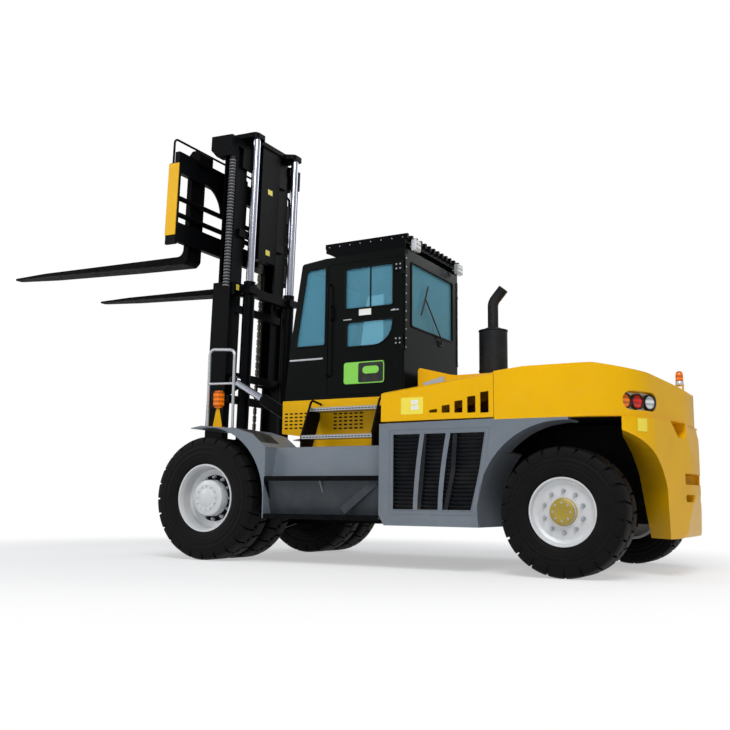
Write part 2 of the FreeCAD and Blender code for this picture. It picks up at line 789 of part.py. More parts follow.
def hood_side():
    """Hinged side hood: slotted side wall and a top that rises to the spine."""
    front, rear = BAY_FRONT, SEAM_X + CLEAR
    t = SKIN
    outline = [
        (front, BOX_TOP + 5),
        (front, hood_top(front), 30),
        (rear, hood_top(rear)),
        (rear, BOX_TOP + 12),
    ]
    wall = prism_y(outline, BODY_HALF - t, BODY_HALF)
    wall = without(wall, [hood_slot(i) for i in range(5)])
    sections = []
    for x in (front, rear):
        edge = hood_top(x)
        sections.append(Part.makePolygon([
            vec(x, BODY_HALF, edge - 20),
            vec(x, BODY_HALF - 60, edge),
            vec(x, HOOD_EDGE, edge + HOOD_RISE),
            vec(x, HOOD_EDGE, edge + HOOD_RISE - t),
            vec(x, BODY_HALF - 60, edge - t),
            vec(x, BODY_HALF - t, edge - 26),
            vec(x, BODY_HALF, edge - 20),
        ]))
    top = Part.makeLoft(sections, True, True)
    wall = wall.common(box(front + 1, rear - 1, 0, BODY_HALF + 10, 0, hood_top(front) + 200))
    under = [(front, 0), (front, hood_top(front) - 22), (rear, hood_top(rear) - 22), (rear, 0)]
    wall = wall.common(prism_y(under, 0, BODY_HALF + 10))
    knuckles = []
    bores = []
    for x in HOOD_HINGES:
        a, b = hood_axis(x + 2), hood_axis(x + HOOD_KNUCKLE_L)
        knuckles.append(rod(a, b, HOOD_KNUCKLE_R))
        knuckles.append(box(x + 2, x + HOOD_KNUCKLE_L - 2, HOOD_EDGE, HOOD_EDGE + 60, a[2] - 26, a[2] - 6))
        bores.append(rod(hood_axis(x - 5), hood_axis(x + HOOD_KNUCKLE_L + 10), HOOD_PIN_R + FIT))
    return without(join([wall, top] + knuckles), bores)


def hood_centre():
    """Fixed spine between the side hoods; the exhaust stands on it."""
    front, rear = BAY_FRONT, SEAM_X + CLEAR
    edge = HOOD_EDGE - CLEAR
    t = SKIN
    knee = bay(0.36)
    outline = [
        (front, hood_top(front) - 200),
        (front, SPINE_HIGH, 30),
        (knee, SPINE_TOP, 400),
        (rear, SPINE_TOP),
        (rear, hood_top(rear) - 100),
    ]
    inside = [
        (front - t, 1000),
        (front - t, SPINE_HIGH - 12, 20),
        (knee, SPINE_TOP - 12, 400),
        (rear + t, SPINE_TOP - 12),
        (rear + t, 1000),
    ]
    shell = prism_y(outline, -edge, edge).cut(prism_y(inside, -edge + t, edge - t))
    for x in HOOD_HINGES:
        room = rod(hood_axis(x), hood_axis(x + HOOD_KNUCKLE_L + 4), HOOD_KNUCKLE_R + CLEAR)
        shell = without(shell, both(room))
    wall = BODY_HALF - 12
    front_wall = box(front - t, front, -wall, wall, BOX_TOP + 6, hood_top(front) - 30)
    front_mid = box(front - t, front, -edge, edge, RAIL_TOP + SEAT, hood_top(front) - 190)
    shapes = [shell, front_wall, front_mid]
    for x in HOOD_HINGES:
        low, high = hood_axis(x - HOOD_KNUCKLE_L + 2), hood_axis(x + HOOD_KNUCKLE_L - 2)
        hinge = [
            rod(low, hood_axis(x), HOOD_KNUCKLE_R),
            rod(hood_axis(x - 1), high, HOOD_PIN_R),
            box(x - HOOD_KNUCKLE_L + 2, x, edge - 40, edge + 4, low[2] - 40, low[2] + 4),
        ]
        shapes.extend(both(join(hinge)))
    return join(shapes)


def exhaust():
    """Muffler can with its pipe bent back and cut on the slant."""
    x = bay(0.548)
    foot = SPINE_TOP + SEAT
    can_r = 160
    can_top = foot + 610
    bend = can_top + 290
    pipe_r = 60
    can = turned_z(
        [
            (0, foot),
            (can_r - 10, foot),
            (can_r, foot + 50, 10),
            (can_r, can_top - 40, 40),
            (pipe_r + 2, can_top, 10),
            (0, can_top),
        ],
        x,
        0,
    )
    pipe = bar([(x, 0, can_top - 40, 0), (x, 0, bend, 130), (x - 130, 0, bend + 150, 0)], pipe_r)
    bore = bar([(x, 0, can_top + 60, 0), (x, 0, bend, 130), (x - 160, 0, bend + 184.6, 0)], pipe_r - 6)
    return join([can, pipe]).cut(bore)


# ---------------------------------------------------------------- counterweight
BAND_TAIL = TAIL_X + 35                 # rear face of the upper band
ARCH_FOOT_X = REAR_X - 585              # front of the foot between the rails
LAMP_X = TAIL_X + 275                   # middle of the left lamp pocket
LAMP_Y = BODY_HALF - 335
LAMP_PITCH = 152
BEACON = (REAR_X - 635, -910)


def arch_front(y):
    """X of the upright front edge of the foot at one Y: it runs back towards the outside."""
    return REAR_X - 325 - 225 * (y - ARCH_IN) / (BODY_HALF + 20 - ARCH_IN)


def tail_plan(tail, z0, z1):
    """Plan of the tail: straight sides, rounded corners and a bowed rear face."""
    bow = 200
    half = [(SEAM_X, BODY_HALF), (tail + TAIL_BOW, BODY_HALF, CORNER_R), (tail, bow, 1200)]
    other = [(p[0], -p[1]) + p[2:] for p in reversed(half)]
    return prism_z(half + other, z0, z1)


def band():
    """Upper band, from the hood round the tail."""
    outline = [
        (SEAM_X, BAND_LOW),
        (SEAM_X, HOOD_REAR_TOP),
        (SEAM_X - 300, BAND_TOP, 400),
        (REAR_X - 290, BAND_TOP, 300),
        (REAR_X - 700, BAND_TOP - 75, 200),
        (BAND_TAIL, BAND_TOP - 160, 60),
        (BAND_TAIL, BAND_LOW),
    ]
    side = prism_y(outline, -BODY_HALF - 10, BODY_HALF + 10)
    return tail_plan(BAND_TAIL, BAND_LOW, BAND_TOP + 50).common(side)


def foot():
    """Lower part behind the wheels; its rear face swells out under the band."""
    middle = (FOOT_Z + BAND_LOW) / 2
    outline = [
        (REAR_X - 200, BAND_LOW + 1),
        (TAIL_X + 45, BAND_LOW + 1),
        (TAIL_X, middle + 200, 300),
        (TAIL_X, middle - 150, 300),
        (TAIL_X + 50, FOOT_Z, 60),
        (REAR_X - 200, FOOT_Z),
    ]
    side = prism_y(outline, -BODY_HALF - 10, BODY_HALF + 10)
    return tail_plan(TAIL_X, FOOT_Z - 10, BAND_LOW + 1).common(side)


def arch_wire(y, bend, drop, low):
    """Outline cut out of the foot at one Y; bend and drop lie on its rear edge, low is its X at the foot."""
    front = SEAM_X + 100
    edge = arch_front(y)
    roof = BAND_LOW
    start = (edge, REAR_Z + 735)
    corners = [(front, FOOT_Z - 50), (front, roof), (edge, roof), start]
    edges = []
    for (x0, z0), (x1, z1) in zip(corners, corners[1:]):
        edges.append(Part.makeLine(vec(x0, y, z0), vec(x1, y, z1)))
    three = [vec(x, y, z) for x, z in (start, bend, drop)]
    edges.append(Part.Arc(*three).toShape())
    edges.append(Part.makeLine(vec(drop[0], y, drop[1]), vec(low, y, FOOT_Z - 50)))
    edges.append(Part.makeLine(vec(low, y, FOOT_Z - 50), vec(front, y, FOOT_Z - 50)))
    return Part.Wire(edges)


def wheel_arch():
    """Room for a steered wheel: a scoop that opens out towards the side."""
    bend, drop = (REAR_X - 430, REAR_Z + 510), (REAR_X - 495, REAR_Z + 220)
    inner = arch_wire(ARCH_IN, bend, drop, REAR_X - 575)
    outer_y = BODY_HALF + 20
    bend, drop = (REAR_X - 1085, REAR_Z + 505), (REAR_X - 1470, REAR_Z + 210)
    outer = arch_wire(outer_y, bend, drop, REAR_X - 1405)
    return Part.makeLoft([inner, outer], True, True)


def lamp_frame(shape):
    """From lamp coordinates (Y outwards) to the rounded rear left corner."""
    shape.rotate(vec(0, 0, 0), Z_AXIS, LAMP_ANGLE)
    shape.translate(vec(LAMP_X, LAMP_Y, LAMP_Z))
    return shape


def lamp_recess():
    """Oval pocket for three round lamps."""
    half, rise, out = LAMP_PITCH + LAMP_R + 4, LAMP_R + 14, 160
    r = rise - 1
    outline = [(half, -rise, r), (half, rise, r), (-half, rise, r), (-half, -rise, r)]
    return lamp_frame(prism_y(outline, -LAMP_POCKET, out))


def tail_lamps():
    lamps = []
    for offset in (-LAMP_PITCH, 0, LAMP_PITCH):
        lamps.append(lamp_frame(rod((offset, SEAT - LAMP_POCKET, 0), (offset, -45, 0), LAMP_R)))
    return lamps + [mirrored(lamp) for lamp in lamps]


def counterweight():
    """Cast block: a band round the tail and a foot behind the wheels, with lamp and tow recesses."""
    block = join([band(), foot()])
    room = box(SEAM_X + 100, ARCH_FOOT_X, -ARCH_IN - 1, ARCH_IN + 1, FOOT_Z - 50, BAND_LOW)
    cavity = box(SEAM_X + 1, REAR_X - 215, -680, 680, BAND_LOW - 1, BAND_TOP - 115)
    deep = TAIL_X + TOW_IN + 90
    mouth = prism_z(
        [
            (TAIL_X - 10, -400),
            (TAIL_X + 90, -400),
            (deep, -90),
            (deep, 90),
            (TAIL_X + 90, 400),
            (TAIL_X - 10, 400),
        ],
        TOW_SLOT_Z,
        TOW_SLOT_Z + 105,
    )
    pin_hole = post(TAIL_X + TOW_IN, 0, FOOT_Z - 50, TOW_SLOT_Z, TOW_R)
    tie_z = TOW_SLOT_Z - 132
    tie = prism_x(
        [(160, tie_z - 36, 34), (400, tie_z - 36, 34), (400, tie_z + 36, 34), (160, tie_z + 36, 34)],
        TAIL_X - 10,
        TAIL_X + 170,
    )
    step = prism_x(
        [
            (690, BAND_LOW),
            (525, BAND_LOW - 150, 20),
            (380, BAND_LOW - 150, 20),
            (300, BAND_LOW - 70),
            (300, BAND_LOW),
        ],
        TAIL_X - 10,
        TAIL_X + 200,
    )
    cutters = [room, cavity, mouth, pin_hole]
    for cutter in (wheel_arch(), tie, step, lamp_recess()):
        cutters.extend(both(cutter))
    return without(block, cutters)


def beacon():
    """Amber beacon on a bracket that stands on the right rear corner."""
    x, y = BEACON
    top = BAND_TOP + 45
    stand = box(x - 40, x + 40, y - 40, y + 40, BAND_TOP - 245, top)
    stand = max(stand.cut(band_lifted()).Solids, key=lambda solid: solid.BoundBox.ZMax)
    base = post(x, y, top, top + 40, 45)
    dome = turned_z([(0, top + 40), (42, top + 40), (42, top + 160, 30), (0, top + 160)], x, y)
    return join([stand, base, dome])


def band_lifted():
    """The band raised by a seat gap, to trim what stands on it."""
    shape = band()
    shape.translate(vec(0, 0, SEAT))
    return shape


# ---------------------------------------------------------------- cab
FRAME_HALF = CAB_HALF - WALL - SEAT     # half width between the side walls
REAR_WINDOW = (570, 2620, 3360)         # half width, foot and head
DOOR_UPPER = [(-1373, 2849, 30), (-1373, 3335, 30), (-1995, 3335, 30), (-1995, 2849, 30)]
DOOR_LOWER = [(-1397, 2405, 30), (-1397, 2700, 30), (-1995, 2700, 30), (-1995, 2405, 250)]
QUARTER = [(-700, 2450, 30), (-1110, 2450, 30), (-1110, 3390, 30), (-840, 3370, 30)]
GLASS_Y = CAB_HALF - 24


def cab_floor():
    nose = CAB_NOSE[0] - 2
    return box(CAB_REAR, nose, -CAB_HALF, CAB_HALF, CAB_FLOOR_Z, CAB_FLOOR_TOP)


def cab_base():
    """Side panels and cross walls that carry the cab on the frame."""
    top = CAB_FLOOR_Z - SEAT
    low = DECK_Z + SEAT
    rear = -1960
    outline = [
        (-545, 1437),
        (-545, top),
        (rear + 120, top),
        (rear, 1500),
        (rear, low),
        (-815, low),
        (-815, 1401),
    ]
    panels = both(prism_y(outline, CAB_HALF - 2, BASE_OUT))
    foot = RAIL_TOP + SEAT
    wall_rear = box(rear - 5, rear + 10, -CAB_HALF + 2, CAB_HALF - 2, foot, top)
    posts = [box(CAB_REAR, rear - 5, s * (RAIL_Y - 60), s * (RAIL_Y + 60), foot, top) for s in (1, -1)]
    return join(panels + [wall_rear] + posts)


def cab_side():
    """Side wall with the doorway, the front window and the door's hinge pins."""
    outline = [
        (CAB_NOSE[0], CAB_FLOOR_TOP + SEAT),
        CAB_SILL,
        CAB_HEAD + (40,),
        (ROOF_FRONT, CAB_TOP),
        (CAB_REAR, CAB_TOP),
        (CAB_REAR, CAB_FLOOR_TOP + SEAT),
    ]
    low, high = CAB_HALF - WALL - 5, CAB_HALF + 5
    wall = prism_y(outline, CAB_HALF - WALL, CAB_HALF)
    doorway = box(DOOR_FRONT + CLEAR + 3, DOOR_REAR - CLEAR, low, high, CAB_FLOOR_Z - 20, DOOR_TOP + CLEAR)
    lugs = []
    for z in HINGE_ZS:
        lugs.append(post(HINGE_X, HINGE_Y, z - WALL - SEAT, z - SEAT, HINGE_R))
        lugs.append(box(CAB_REAR, HINGE_X, CAB_HALF - 2, HINGE_Y + 6, z - WALL - SEAT, z - SEAT))
        lugs.append(post(HINGE_X, HINGE_Y, z - 30, z + HINGE_H, HINGE_PIN_R))
    return join([without(wall, [doorway, prism_y(QUARTER, low, high)])] + lugs)


def slanted_plate(low, high, half):
    """Plate between two (x, z) points, as thick as the cab's walls towards the rear."""
    return prism_y([low, high, (high[0] - WALL, high[1]), (low[0] - WALL, low[1])], -half, half)


def cab_front():
    lower = slanted_plate((CAB_NOSE[0], CAB_FLOOR_TOP + SEAT), CAB_SILL, FRAME_HALF)
    head = (CAB_HEAD[0] - CAB_LEAN * 30, CAB_HEAD[1] - 30)
    upper = slanted_plate(CAB_SILL, head, FRAME_HALF)
    z0, z1 = CAB_SILL[1] + 40, CAB_HEAD[1] - 60
    x0, x1 = CAB_SILL[0] + 23, CAB_HEAD[0] + 35
    window = prism_y([(x0, z0), (x1, z1), (x1 - 80, z1), (x0 - 80, z0)], 50 - FRAME_HALF, FRAME_HALF - 50)
    return join([lower, upper]).cut(window)


def cab_rear():
    wall = box(CAB_REAR, CAB_REAR + WALL, -FRAME_HALF, FRAME_HALF, CAB_FLOOR_TOP + SEAT, CAB_TOP - 30 - SEAT)
    half, z0, z1 = REAR_WINDOW
    return wall.cut(box(CAB_REAR - 5, CAB_REAR + WALL + 5, -half, half, z0, z1))


def cab_roof():
    t = 30
    outline = [
        (CAB_HEAD[0], CAB_HEAD[1] - t + SEAT),
        CAB_HEAD,
        (ROOF_FRONT, CAB_TOP),
        (CAB_REAR, CAB_TOP),
        (CAB_REAR, CAB_TOP - t),
        (ROOF_FRONT - 10, CAB_TOP - t),
    ]
    return prism_y(outline, -FRAME_HALF, FRAME_HALF)


def roof_guard():
    """Falling-object guard: bars along the roof on three cross rails and two side plates."""
    low = CAB_TOP + 0.5
    rail_z = CAB_TOP + 112
    side = [
        (CAB_REAR, low),
        (CAB_REAR, rail_z),
        (ROOF_FRONT, rail_z),
        (ROOF_FRONT, rail_z - 50),
        (ROOF_FRONT - 140, low),
    ]
    shapes = both(prism_y(side, CAB_HALF - 20, CAB_HALF))
    for x in (CAB_REAR, (CAB_REAR + ROOF_FRONT) / 2 - 20, ROOF_FRONT - 50):
        shapes.append(box(x, x + 50, -CAB_HALF, CAB_HALF, rail_z - 45, rail_z + 1))
    count = 13
    bar_w = 40
    for i in range(count):
        y = (CAB_HALF - bar_w / 2) * (2 * i / (count - 1) - 1)
        shapes.append(box(CAB_REAR - 30, ROOF_FRONT + 10, y - bar_w / 2, y + bar_w / 2, rail_z, GUARD_TOP))
    return join(shapes)


def door():
    """Cab door with two windows, its hinge barrels and a pull handle."""
    panel = box(DOOR_FRONT, DOOR_REAR, CAB_HALF - WALL, CAB_HALF, CAB_FLOOR_TOP + CLEAR, DOOR_TOP)
    windows = [prism_y(points, CAB_HALF - 50, CAB_HALF + 5) for points in (DOOR_UPPER, DOOR_LOWER)]
    shapes = [without(panel, windows)]
    bores = []
    for z in HINGE_ZS:
        shapes.append(post(HINGE_X, HINGE_Y, z, z + HINGE_H, HINGE_R))
        shapes.append(box(HINGE_X, HINGE_X + 110, CAB_HALF - 2, CAB_HALF + 8, z, z + HINGE_H))
        shapes.append(box(HINGE_X, HINGE_X + HINGE_R, CAB_HALF - 2, HINGE_Y, z, z + HINGE_H))
        bores.append(post(HINGE_X, HINGE_Y, z - HINGE_H / 2, z + 1.5 * HINGE_H, HINGE_PIN_R + FIT))
    x, out = DOOR_FRONT - 52, CAB_HALF + 45
    z0, z1 = 2740, 2900
    grip = [(x, CAB_HALF - 5, z0, 0), (x, out, z0, 15), (x, out, z1, 15), (x, CAB_HALF - 5, z1, 0)]
    return without(join(shapes + [bar(grip, 10)]), bores)


def door_glass():
    return together([pane(points, GLASS_Y) for points in (DOOR_UPPER, DOOR_LOWER)])


def cab_glass():
    """Front side windows, windscreen and rear window."""
    quarter = pane(QUARTER, GLASS_Y)
    half = FRAME_HALF - 50 - SEAT
    z0, z1 = CAB_SILL[1] + 40 + SEAT, CAB_HEAD[1] - 60 - SEAT
    x0 = CAB_SILL[0] + CAB_LEAN * (z0 - CAB_SILL[1]) - 17
    x1 = CAB_SILL[0] + CAB_LEAN * (z1 - CAB_SILL[1]) - 17
    shield = prism_y([(x0, z0), (x1, z1), (x1 - PANE, z1), (x0 - PANE, z0)], -half, half)
    half, z0, z1 = REAR_WINDOW
    x = CAB_REAR + 17
    rear = box(x, x + PANE, SEAT - half, half - SEAT, z0 + SEAT, z1 - SEAT)
    return together([quarter, mirrored(quarter), shield, rear])


def seat_base():
    stand = box(-1880, -1480, -220, 220, CAB_FLOOR_TOP + SEAT, SEAT_BOX_TOP)
    bracket = box(-1990, -1862, -240, 240, SEAT_BOX_TOP - 60, SEAT_BACK_FOOT)
    return join([stand, bracket])


def seat_cushions():
    low = SEAT_BOX_TOP + SEAT
    back_low = SEAT_BACK_FOOT + SEAT
    seat = [(-1460, low, 5), (-1440, low + 110, 40), (-1855, low + 90, 20), (-1855, low, 5)]
    rest = [
        (-1862, back_low, 5),
        (-1862, back_low + 60, 20),
        (-1960, back_low + 680, 50),
        (-2060, back_low + 660, 40),
        (-1990, back_low, 5),
    ]
    return together([prism_y(seat, -260, 260), prism_y(rest, -250, 250)])


def console():
    """Dash, steering column and the armrest box."""
    low = CAB_FLOOR_TOP + SEAT
    dash = prism_y([(-625, low), (-680, low + 542, 30), (-860, low + 522, 60), (-800, low)], -380, 380)
    column = prism_y([(-830, low), (-1010, low + 582), (-1090, low + 552), (-950, low)], -60, 60)
    arm_box = box(-1750, -1250, -480, -300, low, low + 472)
    return [dash, column, arm_box]


def steering_wheel():
    ring_r, tube = 190, 16
    ring = Part.makeTorus(ring_r, tube, vec(0, 0, 0), Z_AXIS)
    shapes = [ring, post(0, 0, -30, 10, 45), post(0, 0, -110, -20, 24)]
    for a in (0.5, math.pi - 0.5, -math.pi / 2):
        shapes.append(rod((0, 0, -5), ((ring_r - 5) * math.cos(a), (ring_r - 5) * math.sin(a), 0), 10))
    wheel = join(shapes)
    wheel.rotate(vec(0, 0, 0), Y_AXIS, -16)
    wheel.translate(vec(-1062, 0, CAB_FLOOR_TOP + 607))
    return wheel


def work_lamps():
    """Two lamps that look back from the roof's rear edge."""
    lamps = []
    z = CAB_TOP + 45
    for side in (1, -1):
        y = side * (CAB_HALF - 133)
        arm = box(CAB_REAR - 45, CAB_REAR - SEAT, y - 25, y + 25, CAB_TOP - 25, z + 45)
        lamps.append(join([rod((CAB_REAR - 110, y, z), (CAB_REAR - 40, y, z), 70), arm]))
    return lamps


def grab_rails():
    """Hoop beside each fender, with a middle rail."""
    y = BODY_HALF - 70
    front, rear = 60, -300
    high = 2390
    r = 17
    foot = max(fender_top(front - r), fender_top(front + r)) + SEAT
    rear_foot = max(fender_top(rear - r), fender_top(rear + r)) + SEAT
    path = [(front, y, foot, 0), (front, y, high, 70), (rear, y, high - 30, 70), (rear, y, rear_foot, 0)]
    hoop = bar(path, r)
    mid = rod((front, y, high - 405), (rear, y, high - 415), 14)
    return both(join([hoop, mid]))


def turn_lamps():
    """Amber lamp on a stalk in each grab rail."""
    y0, y1 = BODY_HALF - 200, BODY_HALF - 100
    foot = fender_top(0) + SEAT
    stalk = box(-45, 0, y0 + 20, y1 - 20, foot, foot + 230)
    low, high = foot + 220, foot + 420
    head = prism_y([(-90, low, 20), (-60, high, 20), (45, high, 20), (45, low, 20)], y0, y1)
    return both(join([stalk, head]))


# ---------------------------------------------------------------- mast
INNER_GAP = 8              # between the flanges of the inner channel and the outer one


def channel():
    """C section of the outer mast, open inwards, with its web outside."""
    front = MAST_BACK + CHANNEL_DEPTH
    inner = CHANNEL_OUT - 120
    web = box(MAST_BACK, front, CHANNEL_OUT - CHANNEL_T - 10, CHANNEL_OUT, OUTER_BOTTOM, OUTER_TOP)
    rear = box(MAST_BACK, CHANNEL_IN_BACK, inner, CHANNEL_OUT, OUTER_BOTTOM, OUTER_TOP)
    fore = box(CHANNEL_IN_FRONT, front, inner, CHANNEL_OUT, OUTER_BOTTOM, OUTER_TOP)
    return [web, rear, fore]


def tilt_lug():
    """Lug and pin for the tilt cylinder's rod eye."""
    dx, dz = TILT_EYE[0] - PIVOT_X, TILT_EYE[1] - PIVOT_Z
    ex = dx * math.cos(TILT) + dz * math.sin(TILT)
    ez = dz * math.cos(TILT) - dx * math.sin(TILT)
    outline = [
        (MAST_BACK + 1, ez - 170),
        (ex - 50, ez - 50, 45),
        (ex - 50, ez + 50, 45),
        (MAST_BACK + 1, ez + 120),
    ]
    lug = prism_y(outline, TILT_Y - 78, TILT_Y - 50)
    return [lug, rod((ex, TILT_Y - 68, ez), (ex, TILT_Y + 22, ez), TILT_PIN_R - 6)]


def outer_mast():
    """Outer channels with cross members, wear pads, lift barrel shelves and clamps."""
    ear = prism_y(
        [(MAST_BACK + 5, -230), (-40, -75, 60), (-40, 75, 60), (MAST_BACK + 5, 230)],
        CHANNEL_OUT - 80,
        CHANNEL_OUT - 20,
    )
    ear = ear.cut(rod((0, CHANNEL_OUT - 100, 0), (0, CHANNEL_OUT, 0), PIVOT_R))
    sides = both(join(channel() + [ear] + tilt_lug()))
    half = CHANNEL_OUT - 20
    back = MAST_BACK - 58
    levels = ((1300, 1400), (130, 260), (OUTER_BOTTOM + 10, OUTER_BOTTOM + 100))
    bars = [box(back, MAST_BACK + 1, -half, half, z0, z1) for z0, z1 in levels]
    bars.append(box(MAST_BACK, CHANNEL_IN_FRONT, -140, 140, OUTER_BOTTOM + 10, OUTER_BOTTOM + 90))
    top_low = OUTER_TOP - 160
    bars.append(box(LIFT_X - 45, LIFT_X + 45, -LIFT_Y, LIFT_Y, top_low, OUTER_TOP - 50))
    for side in (1, -1):
        y0, y1 = side * (LIFT_Y - 60), side * half
        bars.append(box(back, MAST_BACK + 1, y0, y1, top_low, OUTER_TOP))
        for z in (900, OUTER_TOP - 140):
            p0, p1 = side * (CHANNEL_OUT - 115), side * (CHANNEL_OUT - 60)
            bars.append(box(CHANNEL_IN_BACK, CHANNEL_IN_BACK + 8 - SEAT, p0, p1, z, z + 120))
            bars.append(box(CHANNEL_IN_FRONT, CHANNEL_IN_FRONT - 8 + SEAT, p0, p1, z, z + 120))
    for z0, z1, reach in ((LIFT_FOOT - 40, LIFT_FOOT - SEAT, 80), (top_low + 20, OUTER_TOP - 50, 90)):
        bars.extend(both(box(LIFT_X - reach, back + 1, LIFT_Y - reach, LIFT_Y + reach, z0, z1)))
    shape = join(sides + bars)
    for y in (LIFT_Y, -LIFT_Y):
        shape = shape.cut(post(LIFT_X, y, LIFT_FOOT - SEAT / 2, OUTER_TOP + 300, LIFT_BARREL_R + SEAT))
    return on_mast(shape)


def lift_barrels():
    barrels = []
    for y in (LIFT_Y, -LIFT_Y):
        barrel = post(LIFT_X, y, LIFT_FOOT, OUTER_TOP + 20, LIFT_BARREL_R)
        barrels.append(barrel.cut(post(LIFT_X, y, LIFT_FOOT + 40, OUTER_TOP + 100, LIFT_ROD_R + FIT)))
    return on_mast(together(barrels))


def head_plate():
    """Plate over the inner mast that the lift rods push on: two lobes behind, straight in front."""
    front = CHANNEL_IN_FRONT + 12
    lobe = LIFT_ROD_R + 50
    rear = LIFT_X - 70
    notch = 10
    half = [
        (front, LIFT_Y + lobe + 15),
        (rear, LIFT_Y + lobe, 60),
        (rear, LIFT_Y - lobe, 60),
        (notch, LIFT_Y - lobe - 60, 40),
    ]
    other = [(p[0], -p[1]) + p[2:] for p in reversed(half)]
    return prism_z(half + other, INNER_TOP - 60, INNER_TOP)


def inner_mast():
    """Inner channels, cross members, middle post, head plate and the hose blocks."""
    low, high = INNER_BOTTOM, INNER_TOP - 60
    back, front = CHANNEL_IN_BACK + INNER_GAP, CHANNEL_IN_FRONT - INNER_GAP
    t = 30
    web_out = CHANNEL_OUT - 110
    web = box(back, front, web_out - t, web_out, low, high)
    rear = box(back, back + t, 365, web_out + 60, low, high)
    fore = box(front - t, front, 365, web_out + 60, low, high)
    sides = both(join([web, rear, fore]))
    half = web_out - t
    bar_back = MAST_BACK + CLEAR
    cross = [box(bar_back, back + 0.5, -half, half, z0, z0 + 100) for z0 in (1700, 700, low)]
    shoulder = INNER_TOP - 440
    arm = [
        (-half, high + 10),
        (-half, shoulder),
        (-POST_HALF, shoulder, 90),
        (-POST_HALF, shoulder - 60),
        (POST_HALF, shoulder - 60),
        (POST_HALF, shoulder, 90),
        (half, shoulder),
        (half, high + 10),
    ]
    cross.append(prism_x(arm, bar_back, back + 0.5))
    cross.append(box(30, bar_back + 1, -POST_HALF, POST_HALF, INNER_TOP - 1600, high + 10))
    out = HOSE_Y + 70
    block_low = OUTER_TOP + 10
    back_x, front_x = HOSE_X - 26, CHANNEL_IN_FRONT + 68
    block = prism_y(
        [(back_x, block_low), (back_x, high - 30), (front_x, high - 20), (front_x, block_low)],
        CHANNEL_OUT - 100,
        out,
    )
    hang = prism_y(
        [
            (back_x, block_low - 160),
            (back_x, block_low + 5),
            (front_x, block_low + 5),
            (front_x, block_low - 60),
            (front_x - 98, block_low - 160),
        ],
        CHANNEL_OUT + 10,
        out,
    )
    return on_mast(join(sides + cross + [head_plate()] + both(join([block, hang]))), RAISE)


def lift_rods():
    rods = [post(LIFT_X, y, 260, INNER_TOP - 60 - SEAT, LIFT_ROD_R) for y in (LIFT_Y, -LIFT_Y)]
    return on_mast(together(rods), RAISE)


def gusset():
    """Curved stiffener between a roller plate and the carriage's top beam."""
    low = TUBE_ZS[1] - 20
    high = CARRIAGE_TOP - 270
    radius = high - low
    y = 420 + radius
    block = box(CARRIAGE_X, CARRIAGE_X + 30, 354, y, low, high + 1)
    return block.cut(rod((CARRIAGE_X - 5, y, low), (CARRIAGE_X + 40, y, low), radius))


def carriage():
    """Fork carriage: beams, end plates, positioner tubes and roller plates that run in the inner mast."""
    low, high = CARRIAGE_BOTTOM, CARRIAGE_TOP
    x0, x1 = CARRIAGE_X, CARRIAGE_X + BEAM_T
    half = CARRIAGE_HALF
    shapes = [box(x0, x1, -half, half, high - 270, high), box(x0, x1, -half, half, low, low + 240)]
    shapes.extend(both(box(x0 - 7, x1 + 83, half - 40, half, low - 41, high - 140)))
    tube_r = 32
    for z in TUBE_ZS:
        shapes.append(rod((x0 + 35, 20 - half, z), (x0 + 35, half - 20, z), tube_r))
    back = CHANNEL_IN_BACK + 20
    outline = [(back, low + 110, 40), (back, high - 120, 40), (x0 + 10, high - 5), (x0 + 10, low + 5)]
    sides = [prism_y(outline, 318, 355), gusset()]
    roller_x = (CHANNEL_IN_BACK + CHANNEL_IN_FRONT) / 2
    for z in (low + 200, high - 340):
        sides.append(rod((roller_x, 350, z), (roller_x, 494, z), 40))
        sides.append(rod((roller_x, 400, z), (roller_x, 494, z), 67 - SEAT))
    return on_mast(join(shapes + both(join(sides)) + [load_guard()]), 2 * RAISE)


def carriage_strips():
    """Marked strips on the carriage's ends."""
    y = CARRIAGE_HALF + SEAT
    low, high = CARRIAGE_BOTTOM + 69, CARRIAGE_TOP - 151
    strip = box(CARRIAGE_X - 7, CARRIAGE_X + BEAM_T + 83, y, y + 12, low, high)
    return on_mast(together(both(strip)), 2 * RAISE)


def load_guard():
    """Round bar over the carriage, from end plate to end plate."""
    x = CARRIAGE_X + BEAM_T + 42
    y = CARRIAGE_HALF - 20
    low, high = CARRIAGE_TOP - 280, CARRIAGE_TOP + 190
    return bar([(x, y, low, 0), (x, y, high, 60), (x, -y, high, 60), (x, -y, low, 0)], 14)


